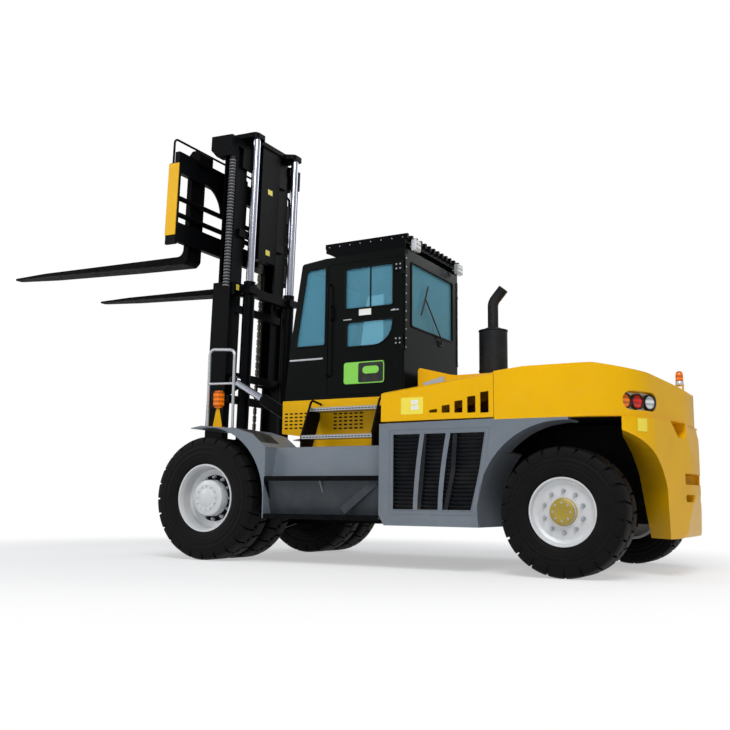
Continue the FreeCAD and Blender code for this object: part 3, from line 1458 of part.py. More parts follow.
def fork():
    """Forged fork: tapered blade, upright shank and the hook over the carriage's top beam."""
    rear = CARRIAGE_X + BEAM_T + SEAT
    front = rear + 75
    low = FORK_TOP_Z - FORK_T
    high = CARRIAGE_TOP + 130
    hook = CARRIAGE_X - 40
    side = prism_y(
        [
            (rear, low + 60, 60),
            (rear + 60, low, 60),
            (front + 900, low + 15),
            (FORK_TIP_X, FORK_TOP_Z - FORK_TIP_T, 8),
            (FORK_TIP_X, FORK_TOP_Z, 8),
            (front, FORK_TOP_Z, 90),
            (front, high - 60, 30),
            (rear + 20, high, 30),
            (hook, high, 60),
            (hook, CARRIAGE_TOP - 60),
            (CARRIAGE_X - CLEAR, CARRIAGE_TOP - 60),
            (CARRIAGE_X - CLEAR, CARRIAGE_TOP + SEAT),
            (rear, CARRIAGE_TOP + SEAT),
        ],
        FORK_Y - FORK_W / 2,
        FORK_Y + FORK_W / 2,
    )
    out = FORK_W / 2
    tip, neck = FORK_TIP_X, FORK_TIP_X - 700
    half = [(0, out), (neck, out, 800), (tip, 60, 50)]
    plan = [(p[0], FORK_Y + p[1]) + p[2:] for p in half]
    plan += [(p[0], FORK_Y - p[1]) + p[2:] for p in reversed(half)]
    return on_mast(side.common(prism_z(plan, low - 10, high + 10)), 2 * RAISE)


def lift_chains(low, high, x):
    """Pair of leaf chains between the channels."""
    return [box(x, x + 30, y - 25, y + 25, low, high) for y in (100, -100)]


def hose_guards():
    """Corrugated hose guard down the outside of each inner channel."""
    foot = INNER_TOP - 2075
    guard = rod((HOSE_X, HOSE_Y, foot), (HOSE_X, HOSE_Y, OUTER_TOP - 150 - SEAT), HOSE_R)
    return on_mast(together(both(guard)), RAISE)


# ---------------------------------------------------------------- tilt cylinders
def tilt_line():
    foot = vec(TILT_FOOT[0], TILT_Y, TILT_FOOT[1])
    eye = vec(TILT_EYE[0], TILT_Y, TILT_EYE[1])
    return foot, eye, (eye - foot).normalize()


def tilt_barrel():
    """Cylinder barrel with the lug it turns on."""
    start, eye, way = tilt_line()
    neck_l = 70
    tube = Part.makeCylinder(TILT_BARREL_R, TILT_BARREL_L - neck_l, start + way * neck_l, way)
    lug = rod((start.x, TILT_Y - 32, start.z), (start.x, TILT_Y + 32, start.z), 60)
    neck = Part.makeCylinder(45, neck_l + 10, start, way)
    bore = Part.makeCylinder(TILT_ROD_R + FIT, TILT_BARREL_L, start + way * (neck_l + 40), way)
    pin = rod((start.x, TILT_Y - 60, start.z), (start.x, TILT_Y + 60, start.z), TILT_PIN_R + FIT)
    return without(join([tube, lug, neck]), [bore, pin])


def tilt_rod():
    """Cylinder rod with its eye."""
    start, eye, way = tilt_line()
    inside = 350
    length = (eye - start).Length - inside - 40
    shaft = Part.makeCylinder(TILT_ROD_R, length, start + way * inside, way)
    head = rod((eye.x, TILT_Y - 28, eye.z), (eye.x, TILT_Y + 28, eye.z), 58)
    pin = rod((eye.x, TILT_Y - 60, eye.z), (eye.x, TILT_Y + 60, eye.z), TILT_PIN_R + 1)
    return join([shaft, head]).cut(pin)


# ---------------------------------------------------------------- build
def on_both_sides(shapes):
    return together([copy for shape in shapes for copy in both(shape)])


left_right = {
    "front_tyres": front_tyres(),
    "front_rim": front_rim(),
    "rear_tyre": tyre(REAR_X, REAR_Z, REAR_TYRE_D, REAR_TYRE_W, REAR_RIM_R, REAR_OUTER),
    "rear_rim": rear_rim(),
    "steer_knuckle": steer_knuckle(),
    "hood": hood_side(),
    "door": door(),
    "door_glass": door_glass(),
    "fork": fork(),
    "tilt_barrel": tilt_barrel(),
    "tilt_rod": tilt_rod(),
}
for name, shape in left_right.items():
    save(name + "_left", shape)
    save(name + "_right", mirrored(shape))

single = {
    "frame": frame(),
    "front_axle": front_axle(),
    "steer_axle": steer_axle(),
    "engine": engine(),
    "counterweight": counterweight(),
    "fenders": on_both_sides([join([fender(), step_box()])]),
    "side_boxes": on_both_sides([side_box()]),
    "grilles": on_both_sides([grille()]),
    "cab_sides": on_both_sides([cab_side()]),
    "lamps": together(tail_lamps() + [beacon()] + work_lamps() + turn_lamps()),
    "hood_centre": hood_centre(),
    "exhaust": exhaust(),
    "cab_base": cab_base(),
    "cab_floor": cab_floor(),
    "cab_front": cab_front(),
    "cab_rear": cab_rear(),
    "cab_roof": cab_roof(),
    "roof_guard": roof_guard(),
    "cab_glass": cab_glass(),
    "seat_base": seat_base(),
    "seat_cushions": seat_cushions(),
    "console": join(console() + [steering_wheel()]),
    "grab_rails": together(grab_rails()),
    "steps": on_both_sides(steps()),
    "step_brackets": on_both_sides(step_brackets()),
    "outer_mast": outer_mast(),
    "lift_barrels": lift_barrels(),
    "inner_mast": inner_mast(),
    "lift_rods": lift_rods(),
    "carriage": carriage(),
    "carriage_strips": carriage_strips(),
    "hose_guards": hose_guards(),
    "upper_chains": on_mast(together(lift_chains(1130, INNER_TOP - 60 - SEAT, 205)), RAISE),
    "lower_chains": on_mast(together(lift_chains(-210 + SEAT, OUTER_TOP - 60, 165))),
}
for name, shape in single.items():
    save(name, shape)
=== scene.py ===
# %% [markdown]
# # Dressing a heavy forklift truck
# The CAD model already has the outline, the joints and the size of the truck. This notebook gives it
# what a painter, a tyre maker and a fitter would add: enamel, rubber lugs, nuts, lenses, chains and dust.

# %% Load the frame
import math
import bmesh
import bpy
from mathutils import Matrix, Vector


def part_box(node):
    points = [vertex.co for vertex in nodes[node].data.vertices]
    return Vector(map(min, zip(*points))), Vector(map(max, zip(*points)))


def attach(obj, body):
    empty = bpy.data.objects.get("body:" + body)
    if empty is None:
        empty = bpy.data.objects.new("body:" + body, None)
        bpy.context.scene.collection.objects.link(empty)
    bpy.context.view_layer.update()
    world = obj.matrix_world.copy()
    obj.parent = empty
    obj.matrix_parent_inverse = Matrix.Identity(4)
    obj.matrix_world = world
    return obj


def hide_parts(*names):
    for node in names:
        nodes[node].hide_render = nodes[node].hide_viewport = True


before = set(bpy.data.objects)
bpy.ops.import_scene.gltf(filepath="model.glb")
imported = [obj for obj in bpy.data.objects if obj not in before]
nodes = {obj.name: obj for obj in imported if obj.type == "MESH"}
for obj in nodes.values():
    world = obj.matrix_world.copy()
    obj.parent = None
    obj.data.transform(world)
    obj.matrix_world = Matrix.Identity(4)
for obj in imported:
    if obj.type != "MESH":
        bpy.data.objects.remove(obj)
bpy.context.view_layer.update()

# %% [markdown]
# ## Standing the camera and the lamps
# A truck nine metres long is looked at from just above knee height, behind its left rear corner.
# A camera is three directions at right angles, so the view line and a small roll give its matrix.

# %% Camera
EYE = Vector((-6.1187, 9.5376, 0.6485))
LOOK = Vector((0.48421, -0.86187, 0.15073)).normalized()
ROLL = math.radians(0.69)
side = LOOK.cross(Vector((0, 0, 1))).normalized()
rise = side.cross(LOOK)
right = side * math.cos(ROLL) + rise * math.sin(ROLL)
upward = rise * math.cos(ROLL) - side * math.sin(ROLL)
turn = Matrix((right, upward, -LOOK)).transposed().to_4x4()
camera_data = bpy.data.cameras.new("camera")
camera_data.sensor_width = 36
camera_data.lens = 44.62
camera = bpy.data.objects.new("camera", camera_data)
camera.matrix_world = Matrix.Translation(EYE) @ turn
bpy.context.collection.objects.link(camera)
bpy.context.scene.camera = camera
bpy.context.scene.view_settings.view_transform = "Standard"
print("camera looks along", tuple(round(v, 3) for v in LOOK))


# %% [markdown]
# ## Two small tools for every material
# Paint makers give colours as sRGB hex codes, while Blender's sockets want linear light. The second
# tool adds one node with its settings, values and links, so that a finish reads as a recipe.

# %% Colour and node helpers
def linear(code):
    channels = [int(code[i:i + 2], 16) / 255 for i in (1, 3, 5)]
    return [c / 12.92 if c <= 0.04045 else ((c + 0.055) / 1.055) ** 2.4 for c in channels] + [1.0]


def add(tree, kind, values=None, links=None, **settings):
    """Adds a node, a shader node unless its kind says otherwise. Settings are its options, and values and
    links are keyed by socket name or number. A linked node stands for its first live output."""
    made = tree.nodes.new(kind if "Node" in kind else "ShaderNode" + kind)
    for name, value in settings.items():
        setattr(made, name, value)
    for socket, value in (values or {}).items():
        made.inputs[socket].default_value = value
    for socket, source in (links or {}).items():
        if isinstance(source, bpy.types.Node):
            source = next(output for output in source.outputs if output.enabled)
        tree.links.new(source, made.inputs[socket])
    return made


def blank_material(name):
    """An empty material, its tree, and the Object coordinates that every pattern is laid out in."""
    material = bpy.data.materials.new(name)
    material.use_nodes = True
    tree = material.node_tree
    tree.nodes.clear()
    place = add(tree, "TexCoord").outputs["Object"]
    return material, tree, place


def surface(tree, values, colour, rough, relief):
    """The end of a recipe: one shader that takes its colour, roughness and fine relief."""
    shader = add(tree, "BsdfPrincipled", values,
                 {"Base Color": colour, "Roughness": rough, "Normal": relief})
    add(tree, "OutputMaterial", links={"Surface": shader})


def per_metre(millimetres):
    """Texture scale whose features are about that many millimetres across."""
    return 1000 / millimetres


print("yellow in linear light:", [round(c, 3) for c in linear("#F2B200")])


# %% [markdown]
# ## Floor, backdrop and light
# A pale floor under a soft sky keeps the paint honest. The camera sees a white world, while the lamps
# and a dimmer sky do the lighting, so that the backdrop never adds light to the truck.

# %% World and floor
world = bpy.data.worlds.new("studio")
bpy.context.scene.world = world
world.use_nodes = True
tree = world.node_tree
tree.nodes.clear()
seen = add(tree, "LightPath").outputs
sky = add(tree, "Background", {"Color": linear("#F4F8FF"), "Strength": 0.36})
white = add(tree, "Background", {"Color": linear("#FFFFFF"), "Strength": 1.0})
either = add(tree, "Math", links={0: seen["Is Camera Ray"], 1: seen["Is Transmission Ray"]},
             operation="MAXIMUM")
mirrored_rays = add(tree, "Math", {1: 0.30}, {0: seen["Is Glossy Ray"]}, operation="MULTIPLY")
shown = add(tree, "Math", links={0: either, 1: mirrored_rays}, operation="MAXIMUM")
mixed = add(tree, "MixShader", links={0: shown, 1: sky, 2: white})
add(tree, "OutputWorld", links={"Surface": mixed})

floor_mesh = bpy.data.meshes.new("floor")
half_floor = 60
floor_mesh.from_pydata([(-half_floor, -half_floor, 0), (half_floor, -half_floor, 0),
                        (half_floor, half_floor, 0), (-half_floor, half_floor, 0)], [], [(0, 1, 2, 3)])
floor = bpy.data.objects.new("floor", floor_mesh)
floor.location.z = -0.001
bpy.context.collection.objects.link(floor)
material, tree, place = blank_material("pale floor paint")
pale = add(tree, "BsdfDiffuse", {"Color": linear("#F7F7F7")})
lit = add(tree, "Emission", {"Color": linear("#FFFFFF"), "Strength": 1.0})
# Past the truck's own shadow the floor turns into the white backdrop, so that no horizon shows.
away = add(tree, "VectorMath", links={0: place}, operation="LENGTH")
far = add(tree, "MapRange", {"From Min": 3.6, "From Max": 7.0, "To Min": 0.45}, {"Value": away},
          interpolation_type="SMOOTHSTEP")
seen = add(tree, "LightPath").outputs
either = add(tree, "Math", links={0: seen["Is Camera Ray"], 1: seen["Is Glossy Ray"]}, operation="MAXIMUM")
both_rays = add(tree, "Math", links={0: either, 1: seen["Is Transmission Ray"]}, operation="MAXIMUM")
share = add(tree, "Math", links={0: far, 1: both_rays}, operation="MULTIPLY")
blend = add(tree, "MixShader", links={0: share, 1: pale, 2: lit})
add(tree, "OutputMaterial", links={"Surface": blend})
floor_mesh.materials.append(material)


# %% Lamps
def soft_lamp(name, location, target, size, power):
    lamp = bpy.data.lights.new(name, "AREA")
    lamp.shape = "DISK"
    lamp.size = size
    lamp.energy = power
    holder = bpy.data.objects.new(name, lamp)
    holder.location = location
    aim = (Vector(target) - Vector(location)).to_track_quat("-Z", "Y")
    holder.rotation_euler = aim.to_euler()
    bpy.context.collection.objects.link(holder)
    return holder


soft_lamp("key", (-7.0, 10.0, 12.0), (-0.5, 0, 1.5), 8.0, 1300)
soft_lamp("fill", (10.0, 8.0, 7.0), (0.5, 0, 2.0), 8.0, 380)
soft_lamp("rim", (-4.0, -12.0, 10.0), (0, 0, 2.0), 8.0, 360)

# %% [markdown]
# ## Enamel on rolled and cast steel
# Truck paint is a sprayed enamel. It is nearly smooth, with a faint orange peel, its tone drifts a little
# from panel to panel, dust settles towards the ground, and the steel shows where edges are rubbed.
# One recipe serves every colour, because the painter uses one kind of paint for all of them.

# %% Enamel recipe
DUST = "#9C9385"


def edge_rub(tree, radius):
    """1 on sharp edges and 0 on flat sheet, from the angle between the real and the rounded normal."""
    soft = add(tree, "Bevel", {"Radius": radius}, samples=4)
    plain = add(tree, "NewGeometry").outputs["Normal"]
    dot = add(tree, "VectorMath", links={0: soft, 1: plain}, operation="DOT_PRODUCT")
    ramp = add(tree, "MapRange", {"From Min": 0.98, "From Max": 0.80}, {"Value": dot})
    return ramp


def enamel(name, code, roughness, dust, rub, bare="#8D9196", coat=0.0, shine=0.5):
    """Sprayed enamel: how strong its dust and its rubbed edges get, and the colour of the bare steel."""
    material, tree, place = blank_material(name)
    drift = add(tree, "TexNoise", {"Scale": per_metre(900), "Detail": 3.0}, {"Vector": place})
    tone = add(tree, "MapRange", {"From Min": 0.3, "From Max": 0.7, "To Min": 0.93, "To Max": 1.05},
               {"Value": drift})
    paint = add(tree, "Mix", {"Factor": 1.0, "A": linear(code)}, {"B": tone},
                data_type="RGBA", blend_type="MULTIPLY")
    grime = add(tree, "TexNoise", {"Scale": per_metre(160), "Detail": 6.0, "Roughness": 0.65},
                {"Vector": place})
    height = add(tree, "SeparateXYZ", links={0: place})
    low = add(tree, "MapRange", {"From Min": 2.2, "From Max": 0.2, "To Min": 0.1, "To Max": 1.0},
              {"Value": height.outputs["Z"]})
    patch = add(tree, "MapRange", {"From Min": 0.42, "From Max": 0.78}, {"Value": grime})
    settled = add(tree, "Math", links={0: low, 1: patch}, operation="MULTIPLY")
    amount = add(tree, "Math", {1: dust}, {0: settled}, operation="MULTIPLY")
    dusty = add(tree, "Mix", {"B": linear(DUST)}, {"Factor": amount, "A": paint}, data_type="RGBA")
    chips = add(tree, "TexNoise", {"Scale": per_metre(45), "Detail": 4.0}, {"Vector": place})
    chipped = add(tree, "Math", links={0: edge_rub(tree, 0.006), 1: chips}, operation="MULTIPLY")
    rubbed = add(tree, "MapRange", {"From Min": 0.35, "From Max": 0.6, "To Max": rub}, {"Value": chipped})
    colour = add(tree, "Mix", {"B": linear(bare)}, {"Factor": rubbed, "A": dusty}, data_type="RGBA")
    sheen = add(tree, "MapRange", {"To Min": roughness, "To Max": min(roughness + 0.35, 1)},
                {"Value": amount})
    # Orange peel is a few millimetres across on the real coat; 20 mm is the finest that shows here.
    peel = add(tree, "TexNoise", {"Scale": per_metre(20), "Detail": 2.0}, {"Vector": place})
    relief = add(tree, "Bump", {"Strength": 0.06, "Distance": 0.002}, {"Height": peel})
    values = {"IOR": 1.5, "Coat Weight": coat, "Coat Roughness": 0.12, "Specular IOR Level": shine}
    surface(tree, values, colour, sheen, relief)
    return material


yellow = enamel("chrome yellow enamel", "#EDB400", 0.36, dust=0.10, rub=0.3, bare="#C9A94A",
                coat=0.03, shine=0.16)
grey = enamel("machine grey enamel", "#6C757F", 0.42, dust=0.26, rub=0.5, bare="#A6ABB0",
              coat=0.08, shine=0.4)
black = enamel("mast black enamel", "#050608", 0.42, dust=0.02, rub=0.16, bare="#5B5E62", shine=0.05)
cab_black = enamel("cab black enamel", "#050907", 0.26, dust=0.015, rub=0.10, bare="#55595C", shine=0.10)
print("enamels:", [m.name for m in (yellow, grey, black, cab_black)])

# %% [markdown]
# ## Bare and plated metals
# Cylinder rods are ground and hard-chromed, rims are sprayed with aluminium paint, forks are forged and
# oiled, and handrails are zinc-plated tube. What tells them apart is roughness, so each one gets its own
# roughness range and its own grain: long scratches on a rod, blotches on a forging.


# %% Metal recipe
def dusted(tree, noise, code, dust, low, high, dust_code=DUST):
    """Colour with dust where a noise lies between two values, low for none and high for all of it."""
    amount = add(tree, "MapRange", {"From Min": low, "From Max": high, "To Max": dust}, {"Value": noise})
    return add(tree, "Mix", {"A": linear(code), "B": linear(dust_code)}, {"Factor": amount}, data_type="RGBA")


def metal(name, code, roughness, spread, grain=(60, 60, 60), bump=0.05, metallic=1.0, dust=0.2, shine=0.5):
    """Metal with a mottled roughness; grain is the size of the mottle along X, Y and Z in millimetres."""
    material, tree, place = blank_material(name)
    scale = add(tree, "Mapping", {"Scale": [per_metre(g) for g in grain]}, {"Vector": place})
    mottle = add(tree, "TexNoise", {"Scale": 1.0, "Detail": 5.0, "Roughness": 0.6}, {"Vector": scale})
    rough = add(tree, "MapRange", {"From Min": 0.3, "From Max": 0.7, "To Min": roughness,
                                             "To Max": roughness + spread}, {"Value": mottle})
    film = add(tree, "TexNoise", {"Scale": per_metre(220), "Detail": 5.0}, {"Vector": place})
    colour = dusted(tree, film, code, dust, 0.45, 0.8)
    relief = add(tree, "Bump", {"Strength": bump, "Distance": 0.002}, {"Height": mottle})
    surface(tree, {"Metallic": metallic, "Specular IOR Level": shine}, colour, rough, relief)
    return material


chrome = metal("hard chrome plate", "#B4B7C2", 0.16, 0.05, grain=(9, 9, 400), bump=0.0, dust=0.04)
rim_silver = metal("aluminium paint", "#D4D6D8", 0.42, 0.15, metallic=0.25, dust=0.25)
zinc = metal("zinc plate", "#B9BDC1", 0.32, 0.2, grain=(30, 30, 30), dust=0.15)
forged = metal("oiled forged steel", "#040405", 0.55, 0.2, grain=(90, 90, 90), bump=0.25, metallic=0.0,
               dust=0.01, shine=0.05)
cast = metal("cast iron", "#141518", 0.6, 0.2, grain=(25, 25, 25), bump=0.4, metallic=0.2, shine=0.3)
chain_steel = metal("oiled chain steel", "#5B5650", 0.4, 0.2, grain=(20, 20, 20), bump=0.2, dust=0.25)
exhaust_black = metal("heat-proof black", "#0C1016", 0.45, 0.2, grain=(80, 80, 300), bump=0.1, metallic=0.0,
                      dust=0.05, shine=0.25)
gold = metal("yellow chromate plate", "#A8923C", 0.4, 0.15, metallic=0.5, dust=0.1)

# %% [markdown]
# ## Rubber, plastic, cloth and glass
# Tyre rubber is almost black with brown road dust in it and a dull sheen where it flexes. Cab plastics are
# moulded with a fine leather grain. The glass is laminated and tinted, so it takes colour from its edge.


# %% Moulded materials
def moulded(name, code, roughness, grain, bump, dust=0.2, dust_code=DUST, variation=0.1, shine=0.5):
    material, tree, place = blank_material(name)
    skin = add(tree, "TexVoronoi", {"Scale": per_metre(grain)}, {"Vector": place})
    cloud = add(tree, "TexNoise", {"Scale": per_metre(120), "Detail": 6.0}, {"Vector": place})
    colour = dusted(tree, cloud, code, dust, 0.4, 0.75, dust_code)
    rough = add(tree, "MapRange", {"To Min": roughness - variation, "To Max": roughness + variation},
                {"Value": cloud})
    relief = add(tree, "Bump", {"Strength": bump, "Distance": 0.001}, {"Height": skin})
    surface(tree, {"IOR": 1.5, "Specular IOR Level": shine}, colour, rough, relief)
    return material


def glass(name, code, body, roughness=0.02, mix=0.26):
    """Thin tinted glass: a clear sheet that is crossed once, so it is mixed from transparent and gloss."""
    material, tree, place = blank_material(name)
    smear = add(tree, "TexNoise", {"Scale": per_metre(300), "Detail": 4.0}, {"Vector": place})
    rough = add(tree, "MapRange", {"To Min": roughness, "To Max": roughness + 0.06}, {"Value": smear})
    clear = add(tree, "BsdfTransparent", {"Color": linear(code)})
    gloss = add(tree, "BsdfPrincipled", {"Base Color": linear(body), "Metallic": 0.0}, {"Roughness": rough})
    share = add(tree, "Fresnel", {"IOR": 1.5})
    more = add(tree, "Math", {1: mix}, {0: share}, operation="ADD", use_clamp=True)
    both = add(tree, "MixShader", links={0: more, 1: clear, 2: gloss})
    add(tree, "OutputMaterial", links={"Surface": both})
    return material


rubber = moulded("tyre rubber", "#070708", 0.60, 12, 0.2, dust=0.08, dust_code="#35312C", shine=0.12)
hose_plastic = moulded("hose guard plastic", "#77797D", 0.5, 10, 0.1, dust=0.1)
abs_plastic = moulded("ABS plastic", "#121315", 0.55, 6, 0.25, dust=0.08, shine=0.35)
vinyl = moulded("seat vinyl", "#202226", 0.5, 5, 0.35, dust=0.1)
cab_glass = glass("tinted laminated glass", "#DDF2F8", "#84D2EA")
print("materials:", len(bpy.data.materials))

# %% [markdown]
# ## Tools for making pieces
# Round things are turned on a lathe, flat things are cut from sheet, and tubes follow a line. Each tool
# returns a mesh that already sits in its place on the truck. A piece is then hung on a body of the model,
# so that it moves with it.

# %% Lathe, plate and place
def mesh_of(bm, name):
    bmesh.ops.recalc_face_normals(bm, faces=bm.faces)
    mesh = bpy.data.meshes.new(name)
    bm.to_mesh(mesh)
    bm.free()
    return mesh


def lathe(profile, steps=48, name="turned"):
    """Solid of revolution about Y from (radius, y) points; an end at radius 0 closes on the axis."""
    bm = bmesh.new()
    rings = []
    for r, y in profile:
        if r < 1e-6:
            rings.append([bm.verts.new((0, y, 0))])
            continue
        turns = [2 * math.pi * i / steps for i in range(steps)]
        rings.append([bm.verts.new((r * math.sin(t), y, r * math.cos(t))) for t in turns])
    closed = profile[0][0] > 1e-6 and profile[-1][0] > 1e-6
    pairs = list(zip(rings, rings[1:])) + ([(rings[-1], rings[0])] if closed else [])
    for a, b in pairs:
        for i in range(steps):
            j = (i + 1) % steps
            corners = [a[i % len(a)], a[j % len(a)], b[j % len(b)], b[i % len(b)]]
            unique = list(dict.fromkeys(corners))
            if len(unique) > 2:
                bm.faces.new(unique)
    return mesh_of(bm, name)


def plate(outline, depth, bevel=0.0, name="plate"):
    """Sheet cut to an outline of (u, v) points in X and Z; it is depth thick, from Y = 0 outwards."""
    bm = bmesh.new()
    face = bm.faces.new([bm.verts.new((u, 0, v)) for u, v in outline])
    made = bmesh.ops.extrude_face_region(bm, geom=[face])
    moved = [v for v in made["geom"] if isinstance(v, bmesh.types.BMVert)]
    bmesh.ops.translate(bm, verts=moved, vec=(0, depth, 0))
    if bevel:
        sharp = [e for e in bm.edges if len(e.link_faces) == 2 and e.calc_face_angle(0) > 0.6]
        bmesh.ops.bevel(bm, geom=sharp, offset=bevel, segments=2, affect="EDGES", clamp_overlap=True)
    return mesh_of(bm, name)


def oval(width, height, radius, steps=6):
    """Rectangle about the origin with rounded corners, as (u, v) points."""
    radius = min(radius, width / 2 - 1e-4, height / 2 - 1e-4)
    points = []
    for corner in range(4):
        cu = (width / 2 - radius) * (1 if corner in (0, 3) else -1)
        cv = (height / 2 - radius) * (1 if corner in (0, 1) else -1)
        for i in range(steps + 1):
            a = (corner + i / steps) * math.pi / 2
            points.append((cu + radius * math.cos(a), cv + radius * math.sin(a)))
    return points


def pin(radius, low, high, steps=16):
    """Plain round bar about Y."""
    return lathe([(0, low), (radius, low), (radius, high), (0, high)], steps)


def at(x=0.0, y=0.0, z=0.0):
    """Matrix that moves a mesh by x, y and z."""
    return Matrix.Translation((x, y, z))


def about(axis, degrees):
    """Matrix that turns a mesh about an axis through the origin."""
    return Matrix.Rotation(math.radians(degrees), 4, axis)


def facing(direction, point):
    """Matrix that turns the lathe's Y axis to a direction and moves it to a point."""
    return at(*point) @ Vector((0, 1, 0)).rotation_difference(Vector(direction)).to_matrix().to_4x4()


def placed(mesh, matrix):
    """Puts a mesh in its place and keeps its faces outwards when the matrix mirrors it."""
    mesh.transform(matrix)
    if matrix.determinant() < 0:
        mesh.flip_normals()
    return mesh


def merged(meshes, name):
    """One mesh from several, with their materials left behind."""
    bm = bmesh.new()
    for mesh in meshes:
        bm.from_mesh(mesh)
    for mesh in meshes:
        bpy.data.meshes.remove(mesh)
    out = bpy.data.meshes.new(name)
    bm.to_mesh(out)
    bm.free()
    return out


# %% Hanging pieces on the bodies
SIDES = ("left", "right")
MIRROR = Matrix.Scale(-1, 4, (0, 1, 0))
CREASE = math.radians(35)    # an edge that turns more than this stays sharp


def hang(name, meshes, finish, body, instead_of=()):
    """Makes one piece: its meshes and finish, the body it rides on, the CAD nodes it stands for."""
    mesh = merged(meshes, name)
    mesh.materials.append(finish)
    mesh.polygons.foreach_set("material_index", [0] * len(mesh.polygons))
    piece = bpy.data.objects.new(name, mesh)
    bpy.context.scene.collection.objects.link(piece)
    mesh.shade_smooth()
    mesh.set_sharp_from_angle(angle=CREASE)
    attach(piece, body)
    if instead_of:
        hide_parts(*instead_of)
    triangles = sum(len(p.vertices) - 2 for p in mesh.polygons)
    print("  %-28s %6d triangles on %s" % (name, triangles, body))
    return piece


def sided(mesh, side):
    """A copy of a left-hand mesh, mirrored for the right side."""
    copy = mesh.copy()
    return placed(copy, MIRROR) if side == "right" else copy


def on_both(name, meshes, finish, instead_of=()):
    """Left-hand meshes and their mirror images as one piece of the chassis."""
    hang(name, [sided(m, side) for m in meshes for side in SIDES], finish, "chassis", instead_of)


def on_each(name, meshes, finish, body):
    """Left-hand meshes as a piece of the left body, and their mirror images as one of the right body."""
    for side in SIDES:
        hang(name + "_" + side, [sided(m, side) for m in meshes], finish, body + "_" + side)


# %% [markdown]
# ## Repeats by Geometry Nodes
# Tread lugs, nuts, chain plates, slots and bolts are one small shape used many times. A Geometry Nodes tree
# is made for that: points, one instance on each, then real geometry. One tree turns copies about an axle,
# and the other sets them out in rows. The tree is built here, used, and turned into a plain mesh.

# %% Ring and grid trees
def new_tree(name, inputs):
    tree = bpy.data.node_groups.new(name, "GeometryNodeTree")
    tree.interface.new_socket("Geometry", in_out="INPUT", socket_type="NodeSocketGeometry")
    for label, kind in inputs:
        tree.interface.new_socket(label, in_out="INPUT", socket_type="NodeSocket" + kind)
    tree.interface.new_socket("Finish", in_out="INPUT", socket_type="NodeSocketMaterial")
    tree.interface.new_socket("Geometry", in_out="OUTPUT", socket_type="NodeSocketGeometry")
    return tree, add(tree, "NodeGroupInput").outputs


def end_tree(tree, given, geometry):
    """Real geometry with its finish set, as the export needs."""
    real = add(tree, "GeometryNodeRealizeInstances", links={0: geometry})
    done = add(tree, "GeometryNodeSetMaterial", links={"Geometry": real, "Material": given["Finish"]})
    add(tree, "NodeGroupOutput", links={0: done})


def applied(holder):
    """Plain mesh of an object with its modifiers applied."""
    return bpy.data.meshes.new_from_object(holder.evaluated_get(bpy.context.evaluated_depsgraph_get()))


def run_tree(tree, mesh, finish, **values):
    """Runs the tree on a mesh through a modifier and returns the result as a plain mesh."""
    source = bpy.data.objects.new(tree.name, mesh)
    bpy.context.scene.collection.objects.link(source)
    modifier = source.modifiers.new(tree.name, "NODES")
    modifier.node_group = tree
    sockets = {s.name: s.identifier for s in tree.interface.items_tree if s.in_out == "INPUT"}
    modifier[sockets["Finish"]] = finish
    for label, value in values.items():
        modifier[sockets[label.replace("_", " ")]] = value
    bpy.context.view_layer.update()
    result = applied(source)
    bpy.data.objects.remove(source)
    bpy.data.meshes.remove(mesh)
    return result


ring_tree, given = new_tree("ring of copies", [("Count", "Int")])
index = add(ring_tree, "GeometryNodeInputIndex")
share = add(ring_tree, "Math", links={0: index, 1: given["Count"]}, operation="DIVIDE")
angle = add(ring_tree, "Math", {1: 2 * math.pi}, {0: share}, operation="MULTIPLY")
turn_y = add(ring_tree, "CombineXYZ", links={"Y": angle})
points = add(ring_tree, "GeometryNodePoints", links={"Count": given["Count"]})
copies = add(ring_tree, "GeometryNodeInstanceOnPoints",
             links={"Points": points, "Instance": given["Geometry"], "Rotation": turn_y})
end_tree(ring_tree, given, copies)

grid_tree, given = new_tree("rows of copies", [("Across", "Int"), ("Along", "Int"), ("Step across", "Vector"),
                                               ("Step along", "Vector")])
index = add(grid_tree, "GeometryNodeInputIndex")
column = add(grid_tree, "Math", links={0: index, 1: given["Across"]}, operation="MODULO")
row = add(grid_tree, "Math", links={0: index, 1: given["Across"]}, operation="DIVIDE")
row = add(grid_tree, "Math", links={0: row}, operation="FLOOR")
one = add(grid_tree, "VectorMath", links={0: given["Step across"], "Scale": column}, operation="SCALE")
two = add(grid_tree, "VectorMath", links={0: given["Step along"], "Scale": row}, operation="SCALE")
spot = add(grid_tree, "VectorMath", links={0: one, 1: two}, operation="ADD")
total = add(grid_tree, "Math", links={0: given["Across"], 1: given["Along"]}, operation="MULTIPLY")
points = add(grid_tree, "GeometryNodePoints", links={"Count": total, "Position": spot})
copies = add(grid_tree, "GeometryNodeInstanceOnPoints",
             links={"Points": points, "Instance": given["Geometry"]})
end_tree(grid_tree, given, copies)


def ring(mesh, count, finish):
    return run_tree(ring_tree, mesh, finish, Count=count)


def grid(mesh, across, step, finish, along=1, step_along=(0, 0, 0)):
    return run_tree(grid_tree, mesh, finish, Across=across, Along=along, Step_across=step,
                    Step_along=step_along)


print("trees:", [t.name for t in bpy.data.node_groups])

# %% [markdown]
# ## Tyres
# An industrial pneumatic tyre has a carcass with raised rings on its sides, and heavy shoulder blocks cut
# into it round the tread. The carcass is a turned profile. One pitch of the tread is bent to the tyre's
# curve, and the ring tree repeats it, which keeps the gaps between the blocks even all the way round.

# %% Tyre carcass and tread pitch
TREAD = 0.030                # depth of the tread, metres


